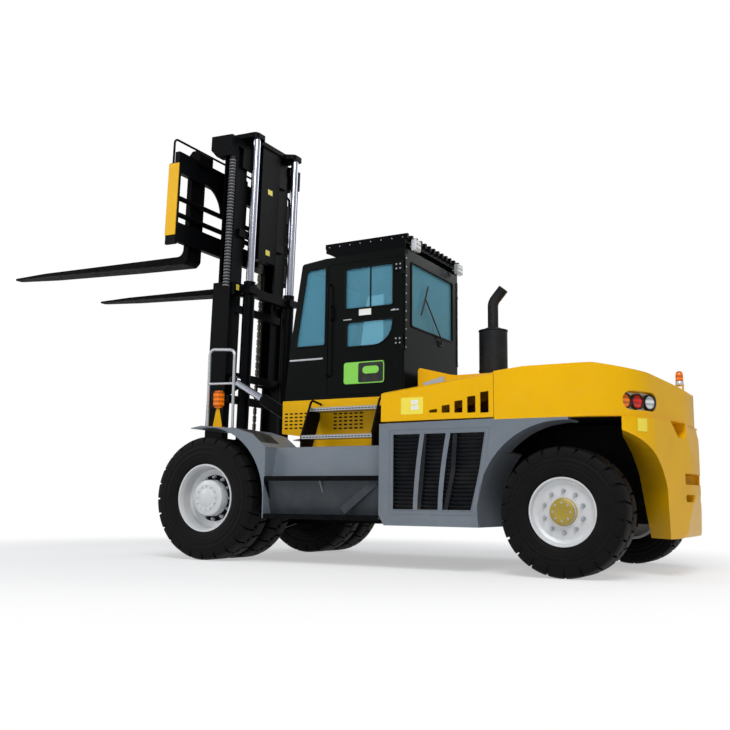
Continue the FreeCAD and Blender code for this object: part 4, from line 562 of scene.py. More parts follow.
def carcass_profile(radius, half, bead):
    """Loop of (radius, y) points from one bead over the tread base to the other."""
    wall = radius - 0.10 - bead
    side = [(bead, 0.76), (bead + 0.010, 0.85), (bead + 0.028, 0.925), (bead + 0.048, 0.95)]
    for share, bulge in ((0.18, 0.962), (0.42, 0.975), (0.78, 0.985)):
        r = bead + 0.05 + (wall - 0.05) * share
        side += [(r, bulge), (r + 0.004, bulge + 0.012), (r + 0.011, bulge + 0.012), (r + 0.015, bulge)]
    side += [(radius - 0.100, 0.972), (radius - 0.06, 0.94)]
    side += [(radius - TREAD - 0.006, 0.85), (radius - TREAD, 0.72)]
    side = [(r, y * half) for r, y in side]
    return side + [(r, -y) for r, y in reversed(side)]


def tread_pitch(radius, half, count):
    """Two shoulder blocks and a centre block, bent to the tyre's curve, for one pitch."""
    bm = bmesh.new()
    base = radius - TREAD - 0.004
    shoulder = [(0.13 * half, base), (0.13 * half, radius), (half - 0.052, radius)]
    shoulder += [(half - 0.018, radius - 0.015), (half - 0.004, radius - 0.048)]
    shoulder += [(half - 0.003, radius - 0.098), (half - 0.022, radius - 0.104), (half - 0.052, base)]
    centre = [(-0.085 * half, base), (-0.085 * half, radius), (0.085 * half, radius), (0.085 * half, base)]
    pitch = 2 * math.pi / count
    gap = 0.020 / radius

    def block(section, start, end, skew):
        cuts = 4
        rows = []
        for i in range(cuts + 1):
            row = []
            for y, r in section:
                a = start + (end - start) * i / cuts + skew * abs(y) / half
                row.append(bm.verts.new((r * math.sin(a), y, r * math.cos(a))))
            rows.append(row)
        faces = [bm.faces.new(rows[0]), bm.faces.new(list(reversed(rows[-1])))]
        for a, b in zip(rows, rows[1:]):
            for i in range(len(section)):
                j = (i + 1) % len(section)
                faces.append(bm.faces.new((a[i], b[i], b[j], a[j])))
        return faces

    block(shoulder, 0, pitch - gap, 0.16 * pitch)
    block([(-y, r) for y, r in reversed(shoulder)], pitch / 2, 1.5 * pitch - gap, 0.16 * pitch)
    block(centre, 0.25 * pitch, 1.25 * pitch - gap * 1.4, 0.3 * pitch)
    bmesh.ops.recalc_face_normals(bm, faces=bm.faces)
    sharp = [e for e in bm.edges if e.calc_face_angle(0) > 0.9]
    bmesh.ops.bevel(bm, geom=sharp, offset=0.004, segments=1, affect="EDGES", clamp_overlap=True)
    return mesh_of(bm, "tread pitch")


def tyre_mesh(radius, width, bead, count, centre):
    half = width / 2
    carcass = lathe(carcass_profile(radius, half, bead), 96)
    tread = ring(tread_pitch(radius, half, count), count, rubber)
    return placed(merged([carcass, tread], "tyre"), at(*centre))


def wheel_box(node):
    low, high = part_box(node)
    return low, high, (low + high) / 2


# %% Front and rear tyres
FRONT_WIDTH = 0.375          # one tyre of the twin pair
for side in SIDES:
    low, high, middle = wheel_box("front_tyres_" + side)
    radius = (high.z - low.z) / 2
    offset = (high.y - low.y - FRONT_WIDTH) / 2
    pair = [tyre_mesh(radius, FRONT_WIDTH, 0.377, 24, middle + Vector((0, s * offset, 0))) for s in (-1, 1)]
    hang("twin_tyres_" + side, pair, rubber, "wheel_front_" + side, ["front_tyres_" + side])
    low, high, middle = wheel_box("rear_tyre_" + side)
    radius = (high.z - low.z) / 2
    single = tyre_mesh(radius, high.y - low.y, 0.313, 22, middle)
    hang("steer_tyre_" + side, [single], rubber, "wheel_rear_" + side, ["rear_tyre_" + side])

# %% [markdown]
# ## Wheel nuts and hub covers
# A hexagon nut is a six-sided plate with its corners turned off, standing on a washer and a stud. The ring
# tree sets ten or twelve of them round each hub. The front hub is a planetary drive, so it has a domed
# cover with its own small screws; the rear hub has a pressed cap with a yellow chromate finish.

# %% Nuts round the hubs
def nut(across, height, stud=0.0):
    """Hexagon nut on a washer, along Y from 0, with its stud where that stands out."""
    corner = across * 0.577
    parts = [pin(across * 0.78, 0, height * 0.18),
             lathe([(0, 0), (corner, 0), (corner, height * 0.85), (across * 0.48, height), (0, height)], 6)]
    if stud:
        parts.append(pin(across * 0.27, 0, height + stud, 10))
    return merged(parts, "nut")


def nut_ring(count, pitch_radius, nut_mesh, hub, y):
    """Nuts on a circle about the hub's axis, y beyond its rim's edge."""
    return placed(ring(placed(nut_mesh, at(y=y, z=pitch_radius)), count, zinc), at(*hub))


# The outer edge of each rim lies a little inside its tyre's face.
front_hub = wheel_box("front_rim_left")[2]
front_hub.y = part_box("front_tyres_left")[1].y - 0.045
rear_hub = wheel_box("rear_rim_left")[2]
rear_hub.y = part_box("rear_tyre_left")[1].y - 0.048
dome = [(0, -0.021), (0.142, -0.021), (0.142, -0.0165), (0.124, -0.0155), (0.105, -0.0155), (0.098, -0.010),
        (0.078, -0.002), (0.045, 0.006), (0, 0.009)]
well = [(0.207, -0.146), (0.262, -0.169), (0.262, -0.172), (0.207, -0.150)]
cap = [(0, 0.0265), (0, 0.0300), (0.060, 0.0300), (0.066, 0.0335), (0.094, 0.0335), (0.1145, 0.024),
       (0.1145, -0.030), (0.128, -0.0345), (0.128, -0.0355), (0.1125, -0.0355), (0.1125, 0.0265)]
on_each("hub_dome", [placed(lathe(dome), at(*front_hub))], rim_silver, "wheel_front")
on_each("hub_well", [placed(lathe(well, 64), at(*front_hub))], black, "wheel_front")
nuts = nut_ring(12, 0.234, nut(0.032, 0.026, 0.014), front_hub, -0.160)
screws = nut_ring(12, 0.128, nut(0.014, 0.007), front_hub, -0.0165)
on_each("front_nuts", [nuts, screws], zinc, "wheel_front")
on_each("hub_cap", [placed(lathe(cap), at(*rear_hub))], gold, "wheel_rear")
nuts = nut_ring(10, 0.186, nut(0.032, 0.026, 0.014), rear_hub, -0.042)
screws = nut_ring(8, 0.082, nut(0.013, 0.006), rear_hub, 0.0335)
on_each("rear_nuts", [nuts, screws], zinc, "wheel_rear")

# %% [markdown]
# ## Tubes, beads and hoses by Geometry Nodes
# Handrails are bent from tube, window rubber runs round the glass, and hoses run in ribbed guards. All of
# them are a round section that follows a line, so one tree builder makes the three kinds: with rounded
# bends, straight off a given outline, or with ribs from a size that goes up and down along the line.

# %% Tube, bead and ribbed trees
def line_tree(name, bent=False, ribbed=False):
    """Tree that sweeps a round section along a line, with rounded bends and ribs where it has them."""
    labels = ["Radius"] + ["Bend"] * bent + ["Rib length", "Rib height"] * ribbed
    tree, given = new_tree(name, [("Sides", "Int")] + [(label, "Float") for label in labels])
    line = add(tree, "GeometryNodeMeshToCurve", links={0: given["Geometry"]})
    if bent:
        line = add(tree, "GeometryNodeFilletCurve", {"Count": 6, "Limit Radius": True},
                   {"Curve": line, "Radius": given["Bend"]}, mode="POLY")
    if ribbed:
        line = add(tree, "GeometryNodeResampleCurve", links={"Curve": line, "Length": given["Rib length"]},
                   mode="LENGTH")
    section = add(tree, "GeometryNodeCurvePrimitiveCircle",
                  links={"Resolution": given["Sides"], "Radius": given["Radius"]})
    swept = add(tree, "GeometryNodeCurveToMesh", {"Fill Caps": True},
                {"Curve": line, "Profile Curve": section})
    if ribbed:
        index = add(tree, "GeometryNodeInputIndex")
        odd = add(tree, "Math", {1: 2.0}, {0: index}, operation="MODULO")
        size = add(tree, "Math", {2: 1.0}, {0: odd, 1: given["Rib height"]}, operation="MULTIPLY_ADD")
        tree.links.new(size.outputs[0], swept.inputs["Scale"])
    end_tree(tree, given, swept)
    return tree


bend_tree = line_tree("tube with bends", bent=True)
bead_tree = line_tree("bead round an outline")
rib_tree = line_tree("ribbed guard", bent=True, ribbed=True)


def along(points, radius, finish, bend=0.0, sides=12, closed=False, rib=0.0):
    """Round section along points: rounded bends if bend is given, ribs if rib is their spacing."""
    count = len(points)
    line = bpy.data.meshes.new("line")
    edges = [(i, (i + 1) % count) for i in range(count if closed else count - 1)]
    line.from_pydata([tuple(p) for p in points], edges, [])
    values = {"Radius": radius, "Sides": sides}
    if bend:
        values["Bend"] = bend
    if rib:
        values.update(Rib_length=rib / 2, Rib_height=0.22)
    made = run_tree(rib_tree if rib else bend_tree if bend else bead_tree, line, finish, **values)
    bm = bmesh.new()
    bm.from_mesh(made)
    bpy.data.meshes.remove(made)
    return mesh_of(bm, "swept")


def slab(low, high, bevel=0.003):
    """Flat bar or box between two corners, with its edges eased."""
    low, high = Vector(low), Vector(high)
    bm = bmesh.new()
    bmesh.ops.create_cube(bm, size=1, matrix=at(*(low + high) / 2) @ Matrix.Diagonal((high - low).to_4d()))
    if bevel:
        bmesh.ops.bevel(bm, geom=list(bm.edges), offset=bevel, segments=2, affect="EDGES", clamp_overlap=True)
    return mesh_of(bm, "slab")


def section_sheet(points, x_from, x_to):
    """Sheet with a (y, z) outline that is pulled along X."""
    swap = Matrix(((0, 1, 0, x_from), (1, 0, 0, 0), (0, 0, 1, 0), (0, 0, 0, 1)))
    return placed(plate(points, x_to - x_from), swap)


print("trees:", [t.name for t in bpy.data.node_groups])

# %% [markdown]
# ## Lamps
# Rear lamps sit in an oval recess of the counterweight: amber, red and white, each a ribbed lens in a black
# bezel. A lens is moulded acrylic, so it is glossy and its colour seems lit from inside. The beacon, the
# turn lamps and the roof lamps are small housings with the same kinds of lens.


# %% Lens material and lamp pieces
def lens(name, code, glow):
    """Moulded lens: prism ribs a few millimetres wide, drawn 8 mm so that they show."""
    material, tree, place = blank_material(name)
    ribs = add(tree, "TexWave", {"Scale": per_metre(8) / 20, "Distortion": 0.0}, {"Vector": place},
               bands_direction="Z")
    deep = add(tree, "Mix", {"A": linear(code), "B": [c * 0.45 for c in linear(code)[:3]] + [1]},
               {"Factor": ribs.outputs["Fac"]}, data_type="RGBA")
    relief = add(tree, "Bump", {"Strength": 0.3, "Distance": 0.002}, {"Height": ribs.outputs["Fac"]})
    shader = add(tree, "BsdfPrincipled", {"Roughness": 0.12, "IOR": 1.49, "Emission Strength": glow},
                 {"Base Color": deep, "Emission Color": deep,
                  "Normal": relief})
    add(tree, "OutputMaterial", links={"Surface": shader})
    return material


amber = lens("amber acrylic", "#F07A10", 0.25)
red = lens("red acrylic", "#D0190C", 0.30)
clear_lens = lens("clear acrylic", "#E9EEF0", 0.05)
bright = metal("reflector plate", "#D9DCDF", 0.25, 0.1, metallic=0.6, dust=0.05)

tail = at(-4.299, 1.115, 1.6) @ about("Z", 57)
bezel = [(0.074, -0.0815), (0.074, -0.046), (0.068, -0.042), (0.061, -0.050), (0.061, -0.0815)]
dome = [(0, -0.0815), (0.0605, -0.0815), (0.0605, -0.057), (0.050, -0.050), (0.025, -0.0455), (0, -0.0445)]
spots = [(0.152, amber, "amber"), (0.0, red, "red"), (-0.152, clear_lens, "clear")]
for offset, finish, word in spots:
    glass_dome = placed(lathe(dome, 32), tail @ at(offset))
    on_both("tail_lens_" + word, [glass_dome], finish, ["lamps"])
rings = [placed(lathe(bezel, 32), tail @ at(offset)) for offset, finish, word in spots]
on_both("tail_bezels", rings, abs_plastic)
backing = placed(plate(oval(0.440, 0.162, 0.081, 10), 0.003), tail @ at(y=-0.0845))
on_both("tail_plates", [backing], bright)

upright = about("X", 90)
beacon_spot = at(-4.279, -0.910) @ upright
base = [(0, 1.990), (0.047, 1.990), (0.047, 2.000), (0.044, 2.004), (0.044, 2.026), (0.040, 2.032),
        (0, 2.032)]
dome = [(0, 2.030), (0.041, 2.030), (0.041, 2.105), (0.037, 2.126), (0.025, 2.143), (0.010, 2.150),
        (0, 2.150)]
hang("beacon_bracket", [slab((-4.319, -0.945, 1.978), (-4.239, -0.875, 1.990), 0.002),
                        slab((-4.319, -0.945, 1.860), (-4.309, -0.875, 1.985), 0.002)],
     yellow, "chassis")
hang("beacon_base", [placed(lathe(base, 32), beacon_spot)], bright, "chassis")
hang("beacon_dome", [placed(lathe(dome, 32), beacon_spot)], amber, "chassis")

box_lamp = slab((-1.774, 0.532, 3.468), (-1.712, 0.668, 3.602), 0.010)
arm = slab((-1.722, 0.588, 3.527), (-1.669, 0.612, 3.543), 0.002)
on_both("roof_lamps", [box_lamp, arm], bright)
on_both("roof_lamp_glass", [slab((-1.779, 0.545, 3.481), (-1.773, 0.655, 3.589), 0.002)], clear_lens)

on_both("turn_lamps", [slab((0.382, 1.252, 1.713), (0.502, 1.348, 1.909), 0.022)], amber)
rear_frame = slab((0.501, 1.250, 1.708), (0.516, 1.350, 1.911), 0.004)
on_both("turn_lamp_frames", [rear_frame], abs_plastic)
stand = plate([(0.380, 0), (0.517, 0), (0.468, 0.222), (0.429, 0.222)], 0.006, 0.0015)
foot = slab((0.372, 1.262, 1.486), (0.525, 1.338, 1.493), 0.002)
on_both("turn_lamp_stands", [placed(stand, at(0, 1.297, 1.488)), foot], yellow)

# %% [markdown]
# ## Leaf chains and hose guards
# A mast chain is a leaf chain: flat figure-of-eight plates, three and two by turns, on riveted pins. One
# pair of links is built, and the rows tree repeats it up the mast. Hoses run up beside it in a ribbed guard.

# %% Chains
PITCH = 0.0508
PLATE_R = 0.0145             # round end of a chain plate
WAIST = 0.0095               # half its width between the pins
RAISED = 1.775               # how far the inner mast stands raised at rest


def mast_frame(raised):
    """Where the mast stands at rest: tilted back a little, and its stages raised."""
    return at(0.801, 0, 0.560) @ about("Y", -1.4) @ at(z=raised)


def chain_plate(start):
    """Figure-of-eight outline round two pins, the lower one at start."""
    def cheek(z, first):
        turns = [math.radians(degrees) for degrees in range(first, first + 221, 44)]
        return [(PLATE_R * math.cos(a), z + PLATE_R * math.sin(a)) for a in turns]

    middle = start + PITCH / 2
    return cheek(start + PITCH, -20) + [(-WAIST, middle)] + cheek(start, 160) + [(WAIST, middle)]


def leaf_chain(x, y, low, high, raised):
    pieces = []
    for start, layers in ((0, (0, 2, 4)), (PITCH, (1, 3))):
        for layer in layers:
            pieces.append(placed(plate(chain_plate(start), 0.0085), at(y=layer * 0.01 - 0.0242)))
        pieces.append(placed(pin(0.0065, -0.027, 0.027, 10), at(z=start)))
    pairs = int((high - low - 0.03) / (2 * PITCH))
    length = pairs * 2 * PITCH
    slack = (high - low - length) / 2
    parts = [grid(merged(pieces, "links"), pairs, (0, 0, 2 * PITCH), chain_steel),
             slab((-0.014, -0.027, -slack), (0.014, 0.027, 0.010)),
             slab((-0.014, -0.027, length - 0.010), (0.014, 0.027, length + slack))]
    return placed(merged(parts, "chain"), mast_frame(raised) @ at(x, y, low + slack))


for word, body, x, low, high, raised in (("upper", "mast_inner", 0.220, 1.130, 2.9947, RAISED),
                                         ("lower", "mast_outer", 0.180, -0.2097, 2.780, 0)):
    chains = [leaf_chain(x, y, low, high, raised) for y in (-0.1, 0.1)]
    hang("mast_chains_" + word, chains, chain_steel, body, [word + "_chains"])

# %% Hose guards
# The ribs of the real guard are 20 mm apart; every second one is drawn, so that they don't run together.
RIB_STEP = 0.040
guards, rib_rings = [], []
for y in (-0.72, 0.72):
    line = [(0.122, y, 0.980), (0.122, y, 2.6897)]
    core = along(line, 0.033, abs_plastic, bend=0.02, sides=16, rib=RIB_STEP)
    guards.append(placed(core, mast_frame(RAISED)))
    rib = lathe([(0.030, 0), (0.042, 0.004), (0.042, 0.016), (0.030, 0.020)], 16)
    ribs = grid(placed(rib, at(0.122, y, 0.985) @ upright), 42, (0, 0, RIB_STEP), hose_plastic)
    rib_rings.append(placed(ribs, mast_frame(RAISED)))
hang("hose_guard_core", guards, abs_plastic, "mast_inner", ["hose_guards"])
hang("hose_guard_ribs", rib_rings, hose_plastic, "mast_inner", ["hose_guards"])

# %% [markdown]
# ## Cab windows and doors
# The panes are bonded in a black rubber bead, the upper door pane slides behind a centre bar, and the door
# hangs on lift-off hinges. Handles and a wiper are what a driver touches or needs, so they stand proud and
# catch light on an almost black cab. Labels and plates are here with their colours, and with nothing on them.

# %% Outlines of the glass
FRONT_AXLE = 0.471           # where the front axle stands in the frame
CAB_FACE = 0.733             # outer face of the cab's side
PANEL_FACE = 1.450           # outer face of the side boxes and hoods


def rounded(corners, steps=5):
    """Outline with each (x, z, radius) corner in millimetres from the front axle turned into an arc."""
    out = []
    for i, (x, z, radius) in enumerate(corners):
        here = Vector((x, z)) / 1000
        before = (Vector(corners[i - 1][:2]) / 1000 - here).normalized()
        after = (Vector(corners[(i + 1) % len(corners)][:2]) / 1000 - here).normalized()
        half = before.angle(after) / 2
        reach = radius / 1000 / math.tan(half)
        centre = here + (before + after).normalized() * (radius / 1000 / math.sin(half))
        start, end = here + before * reach - centre, here + after * reach - centre
        swing = start.angle_signed(end)
        for k in range(steps + 1):
            spoke = Matrix.Rotation(-swing * k / steps, 2) @ start
            out.append((centre.x + spoke.x + FRONT_AXLE, centre.y + spoke.y))
    return out


DOOR_UPPER = [(-1373, 2849, 30), (-1373, 3335, 30), (-1995, 3335, 30), (-1995, 2849, 30)]
DOOR_LOWER = [(-1397, 2405, 30), (-1397, 2700, 30), (-1995, 2700, 30), (-1995, 2405, 250)]
QUARTER = [(-700, 2450, 30), (-1110, 2450, 30), (-1110, 3390, 30), (-840, 3370, 30)]


def bead(corners):
    """Rubber round a side window."""
    return along([(x, CAB_FACE, z) for x, z in rounded(corners)], 0.011, rubber, sides=8, closed=True)


# %% Beads, bars, handles and hinges
centre_bar = slab((-1.233, 0.706, 2.849), (-1.217, 0.722, 3.335), 0.002)
on_each("door_beads", [bead(DOOR_UPPER), bead(DOOR_LOWER), centre_bar], rubber, "door")
grip = CAB_FACE + 0.052
line = [(-0.698, CAB_FACE, 2.08), (-0.698, grip, 2.10), (-0.698, grip, 3.15), (-0.698, CAB_FACE, 3.17)]
on_each("door_rail", [along(line, 0.011, black, 0.03)], black, "door")
lock = [slab((-1.600, CAB_FACE, 2.782), (-1.500, 0.740, 2.798), 0.002),
        slab((-0.990, CAB_FACE, 2.722), (-0.880, 0.739, 2.734), 0.002),
        placed(pin(0.013, 0, 0.014), at(-1.545, 0.740, 2.790))]
on_each("door_lock", lock, zinc, "door")
leaves, bolts = [], []
for foot in (2.385, 3.235):
    leaves.append(slab((-1.640, 0.7405, foot), (-1.545, 0.7445, foot + 0.100), 0.0015))
    one = placed(nut(0.013, 0.006), at(-1.616, 0.7445, foot + 0.025))
    bolts.append(grid(one, 2, (0.048, 0, 0), zinc, 2, (0, 0, 0.050)))
on_each("hinge_leaves", leaves, cab_black, "door")
on_each("hinge_bolts", bolts, zinc, "door")
on_both("quarter_beads", [bead(QUARTER)], rubber)

rear_outline = [(-1.6705, y, z + 2.99) for y, z in oval(1.140, 0.740, 0.03)]
rear_bead = along(rear_outline, 0.012, rubber, sides=8, closed=True)
hang("rear_window_bead", [rear_bead], rubber, "chassis")
on_both("corner_rails", [slab((-1.677, 0.700, 2.330), (-1.6695, 0.729, 3.400), 0.001)], cab_black)
bolt = placed(nut(0.014, 0.007), facing((-1, 0, 0), (-1.677, 0.7145, 2.360)))
on_both("corner_bolts", [grid(bolt, 11, (0, 0, 0.1015), zinc)], zinc)

# %% Wiper and trim
pivot, tip = Vector((-1.690, -0.212, 2.545)), Vector((-1.694, 0.235, 2.990))
blade_line = [tip + Vector(step) for step in ((0.006, 0.11, -0.20), (0.004, 0, 0.02), (0.006, -0.07, 0.17))]
wiper = [along([pivot, pivot + Vector((-0.012, 0.02, 0.03)), tip], 0.008, abs_plastic, 0.01, 8),
         along(blade_line, 0.010, rubber, 0.02, 8),
         slab((-1.684, -0.262, 2.505), (-1.669, -0.162, 2.575), 0.006),
         placed(lathe([(0, 0), (0.018, 0), (0.016, 0.018), (0, 0.020)], 16),
                facing((-1, 0, 0), pivot + Vector((0.008, 0, 0))))]
hang("rear_wiper", wiper, abs_plastic, "chassis")
on_both("cab_strips", [slab((-0.612, 0.7335, 2.290), (-0.151, 0.7395, 2.310), 0.002)], zinc)


# %% Blank labels
def film(name, code):
    """Printed vinyl film: flat colour with a faint cloud, slightly glossier than the paint under it."""
    return moulded(name, code, 0.35, 30, 0.02, dust=0.06, variation=0.05)


white_film = film("white label film", "#E9ECE6")
green_film = film("green label film", "#86D64F")
yellow_film = film("yellow label film", "#F4E14A")
dark_film = film("black label film", "#0B120D")


def label(x_from, x_to, z_from, z_to, y, thick=0.0012, radius=0.008):
    """Rounded film on a face that looks sideways."""
    return placed(plate(oval(x_to - x_from, z_to - z_from, radius, 3), thick),
                  at((x_from + x_to) / 2, y, (z_from + z_to) / 2))


for word, finish, field, thick, radius in (
        ("green", green_film, (-1.417, -0.896, 1.981, 2.229), 0.0010, 0.030),
        ("dark", dark_film, (-1.406, -1.085, 1.992, 2.218), 0.0016, 0.022),
        ("white", white_film, (-1.243, -1.085, 2.765, 2.842), 0.0012, 0.004),
        ("patch", green_film, (-1.350, -1.140, 2.090, 2.175), 0.0022, 0.040)):
    on_each("door_label_" + word, [label(*field, CAB_FACE, thick, radius)], finish, "door")
on_each("hood_label", [label(-2.242, -1.996, 1.530, 1.700, PANEL_FACE)], yellow_film, "hood")
marks = [label(-2.190, -2.110, low, low + 0.042, PANEL_FACE + 0.0005, 0.0016, 0.004)
         for low in (1.630, 1.575)]
on_each("hood_label_marks", marks, white_film, "hood")

# %% [markdown]
# ## Steps, fender and cab plinth
# Step edges are toothed so that a wet boot grips, the plinth panel is punched with slots for air, and the
# fender top has a grit mat. The riser between the boards is set back, out of the way of the toes. Its dark
# grey sheet, the black strips and covers on the boards and the black triangle at the front end are painted
# shade of the step well, and the slots in the plinth and the holes in the treads are black plates of painted
# shade.

# %% Boards, riser and gusset
BOARD = 1.445                # outer edge of the two step boards
STEP_REAR, STEP_FRONT = -1.747, -0.330
# This grey is painted shade: it stands for the shade in the set-back step well, not for the colour of the
# steel.
recess_shade_grey = enamel("painted recess shade grey", "#353B41", 0.45, dust=0.10, rub=0.4, shine=0.3)
mat_black = moulded("grit mat", "#191A1C", 0.8, 7, 0.6, dust=0.15, shine=0.3)
# The riser is a thin sheet coloured in this painted shade grey.
recess_shade_sheet = section_sheet([(1.394, 0.884), (1.389, 0.884), (1.299, 0.514), (1.304, 0.514)], -1.745, -0.334)
on_both("step_recess_shades", [recess_shade_sheet], recess_shade_grey)
edges = []
# The black strips along the board edges and the black covers on the boards are painted shade of the step
# well; the teeth give grip.
for top in (0.912, 0.512):
    crest = top + 0.004
    edges.append(slab((STEP_REAR, BOARD - 0.002, top - 0.040), (STEP_FRONT, BOARD + 0.004, crest), 0.0015))
    edges.append(slab((STEP_REAR, 1.380, top), (STEP_FRONT, BOARD, crest), 0.001))
    tooth = slab((-1.745, BOARD - 0.014, top + 0.003), (-1.735, BOARD + 0.004, top + 0.012), 0)
    edges.append(grid(tooth, 59, (0.024, 0, 0), black, 4, (0, -0.026, 0)))
# The black triangle at the front end of the step well is painted shade.
edges.append(section_sheet([(1.449, 0.888), (1.340, 0.888), (1.300, 0.600)], -0.346, -0.334))
on_both("step_edges_and_shade", edges, black)
gusset = section_sheet([(1.449, 1.245), (1.449, 0.914), (1.300, 0.914), (1.230, 1.245)], -0.340, -0.332)
on_both("fender_gussets", [gusset], grey)
# The brace is coloured in the same painted shade grey as the riser sheet.
brace = slab((-0.245, -0.003, -0.040), (0.245, 0.003, 0.040), 0.001)
on_both("step_braces", [placed(brace, at(-1.490, 1.392, 0.715) @ about("Y", 38))], recess_shade_grey)

# %% Treads, rails and slots
# The holes in the treads are black plates: painted shade where the openings are.
teeth, opening_shades = [], []
for y, top in ((1.010, 1.375), (0.860, 1.695)):
    tooth = slab((-1.474, y + 0.092, top - 0.001), (-1.462, y + 0.110, top + 0.008), 0)
    teeth.append(grid(tooth, 36, (0.025, 0, 0), zinc, 4, (0, -0.048, 0)))
    teeth.append(slab((-1.479, y + 0.1095, top - 0.034), (-0.594, y + 0.1125, top), 0.0005))
    opening_shade = placed(plate(oval(0.030, 0.012, 0.006, 3), 0.0012), at(-1.447, y + 0.112, top - 0.017))
    opening_shades.append(grid(opening_shade, 21, (0.041, 0, 0), black))
on_both("tread_teeth", teeth, zinc)
on_both("tread_opening_shades", opening_shades, black)
rails = [along([(x, 0.752, 1.760), (x, 0.960, 1.790), (x + lean, 1.118, 1.392)], 0.013, black, 0.06)
         for x, lean in ((-0.612, 0.012), (-1.492, 0.008))]
on_both("step_rails", rails, black)
# Each slot for air is a black plate: painted shade where the opening is.
vent_shades = []
for x, z in ((-0.130, 1.500), (-0.800, 1.480)):
    vent_shade = placed(plate(oval(0.044, 0.018, 0.008, 3), 0.0016), at(x, 0.7447, z))
    vent_shades.append(grid(vent_shade, 6, (-0.068, 0, 0), black, 5, (0, 0, 0.042)))
on_both("plinth_vent_shades", vent_shades, black)

# The mat's underside follows the line of the fender sheet, and the mat is 4 mm thick.
fender_line = [(-0.742, 1.2935), (-0.620, 1.392), (-0.400, 1.456), (-0.300, 1.4648)]
under = [(x + FRONT_AXLE, z + 0.0015) for x, z in fender_line]
mat = plate(under + [(x, z + 0.004) for x, z in reversed(under)], 0.330)
on_both("fender_mats", [placed(mat, at(y=1.095))], mat_black)

# %% [markdown]
# ## Fasteners, glands and small plates
# Sheet metal is held by rows of small screws, each tilt rod ends in a cast eye, and the
# exhaust can has a rolled flange at each end. They are small, but they tell the eye how big the truck is.

# %% Screws on panels and roof
def bay(share):
    """Place along the side box from its front (0) to its rear (1), as x."""
    return (-2220 - 1240 * share) / 1000 + FRONT_AXLE


screws = []
panel_screw = (0.008, 0.004)
for z, rear_share in ((0.570, 0.79), (1.352, 0.93)):
    one = placed(nut(*panel_screw), at(bay(0.12), PANEL_FACE, z))
    screws.append(grid(one, 9, ((bay(rear_share) - bay(0.12)) / 8, 0, 0), grey))
one = placed(nut(*panel_screw), at(bay(0.108), PANEL_FACE, 0.65))
screws.append(grid(one, 6, (0, 0, 0.128), grey))
on_both("panel_screws", screws, grey)
bolt = placed(nut(0.009, 0.004), at(-1.640, CAB_FACE, 3.620))
on_both("roof_bolts", [grid(bolt, 8, (0.138, 0, 0), zinc)], zinc)

# %% Grille bars and frame
def bar_line(foot, crest):
    """Centre of a bar that leans back and curves as it rises, as (x, z)."""
    return [(bay(foot + (crest - foot) * t ** 1.6), 0.583 + 0.756 * t) for t in [i / 8 for i in range(9)]]


bars = []
for foot_share, crest_share in ((0.330, 0.392), (0.545, 0.618)):
    line = bar_line(foot_share, crest_share)
    outline = [(x + 0.024, z) for x, z in line] + [(x - 0.024, z) for x, z in reversed(line)]
    bars.append(placed(plate(outline, 0.006, 0.0015), at(y=1.4475)))
for front, crest, waist, foot, low, high, radius in (
        (0.095, 0.965, 0.915, 0.835, 0.545, 1.378, 0.004),
        (0.129, 0.927, 0.879, 0.806, 0.587, 1.335, 0.006)):
    corners = [(front, low), (front, high), (crest, high), (waist, 0.961), (foot, low)]
    line = [(bay(share), PANEL_FACE, z) for share, z in corners]
    bars.append(along(line, radius, grey, sides=6, closed=True))
on_both("grille_bars", bars, grey)

# %% Exhaust flanges and rod ends
low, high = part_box("exhaust")
stack = at(high.x - 0.160, (low.y + high.y) / 2)
flange = [(0.150, 0), (0.166, 0), (0.166, 0.014), (0.150, 0.014)]
rims = [placed(lathe(flange), stack @ at(z=z) @ upright) for z in (2.130, 2.590)]
hang("exhaust_flanges", rims, exhaust_black, "chassis")

for side in SIDES:
    low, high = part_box("tilt_barrel_" + side)
    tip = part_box("tilt_rod_" + side)[1]
    eye = (tip.x - 0.045, (low.y + high.y) / 2, tip.z - 0.045)
    head = lathe([(0.028, -0.043), (0.052, -0.043), (0.052, 0.043), (0.028, 0.043)], 32)
    neck = lathe([(0.026, 0.03), (0.036, 0.03), (0.034, 0.15), (0.026, 0.15)], 24)
    parts = [placed(head, at(*eye)), placed(neck, facing((-0.85, 0, -0.53), eye))]
    hang("tilt_head_" + side, parts, cast, "tilt_rod_" + side)


# %% Label plates on mast, hood and counterweight
def tile(y_from, y_to, z_from, z_to, x_from, x_to):
    """Small plate on a face that looks backwards."""
    return section_sheet([(y_from, z_from), (y_to, z_from), (y_to, z_to), (y_from, z_to)], x_from, x_to)


inner = [tile(-0.045, 0.055, 4.715, 4.785, 0.7255, 0.7280), tile(-0.045, 0.045, 3.885, 3.955, 0.7455, 0.7480)]
hang("mast_plates_inner", inner, yellow_film, "mast_inner")
outer = [tile(0.530, 0.590, 3.300, 3.372, 0.7905, 0.7935)]
hang("mast_plate_outer", outer, yellow_film, "mast_outer")
foot = plate(oval(0.115, 0.118, 0.004, 2), 0.0015)
on_both("foot_labels", [placed(foot, at(-4.311, 1.1888, 1.376) @ about("Z", 56.4))], yellow_film)
deck = slab((-0.130, 0, -0.030), (0.130, 0.006, 0.030), 0.002)
on_both("hood_latch_plates", [placed(deck, at(-1.965, 0.596, 1.966) @ about("Y", 14))], zinc)

# %% [markdown]
# ## Seat cushions
# A seat cushion is a cover sewn tight over foam. A cloth skin blown up a little from inside gives the soft
# crown and the rounded edges that foam pushes into it.

# %% Blown cushions
EDGE = 0.012                 # rounding of the foam's edges
SWELL = 0.010                # how far the skin may move


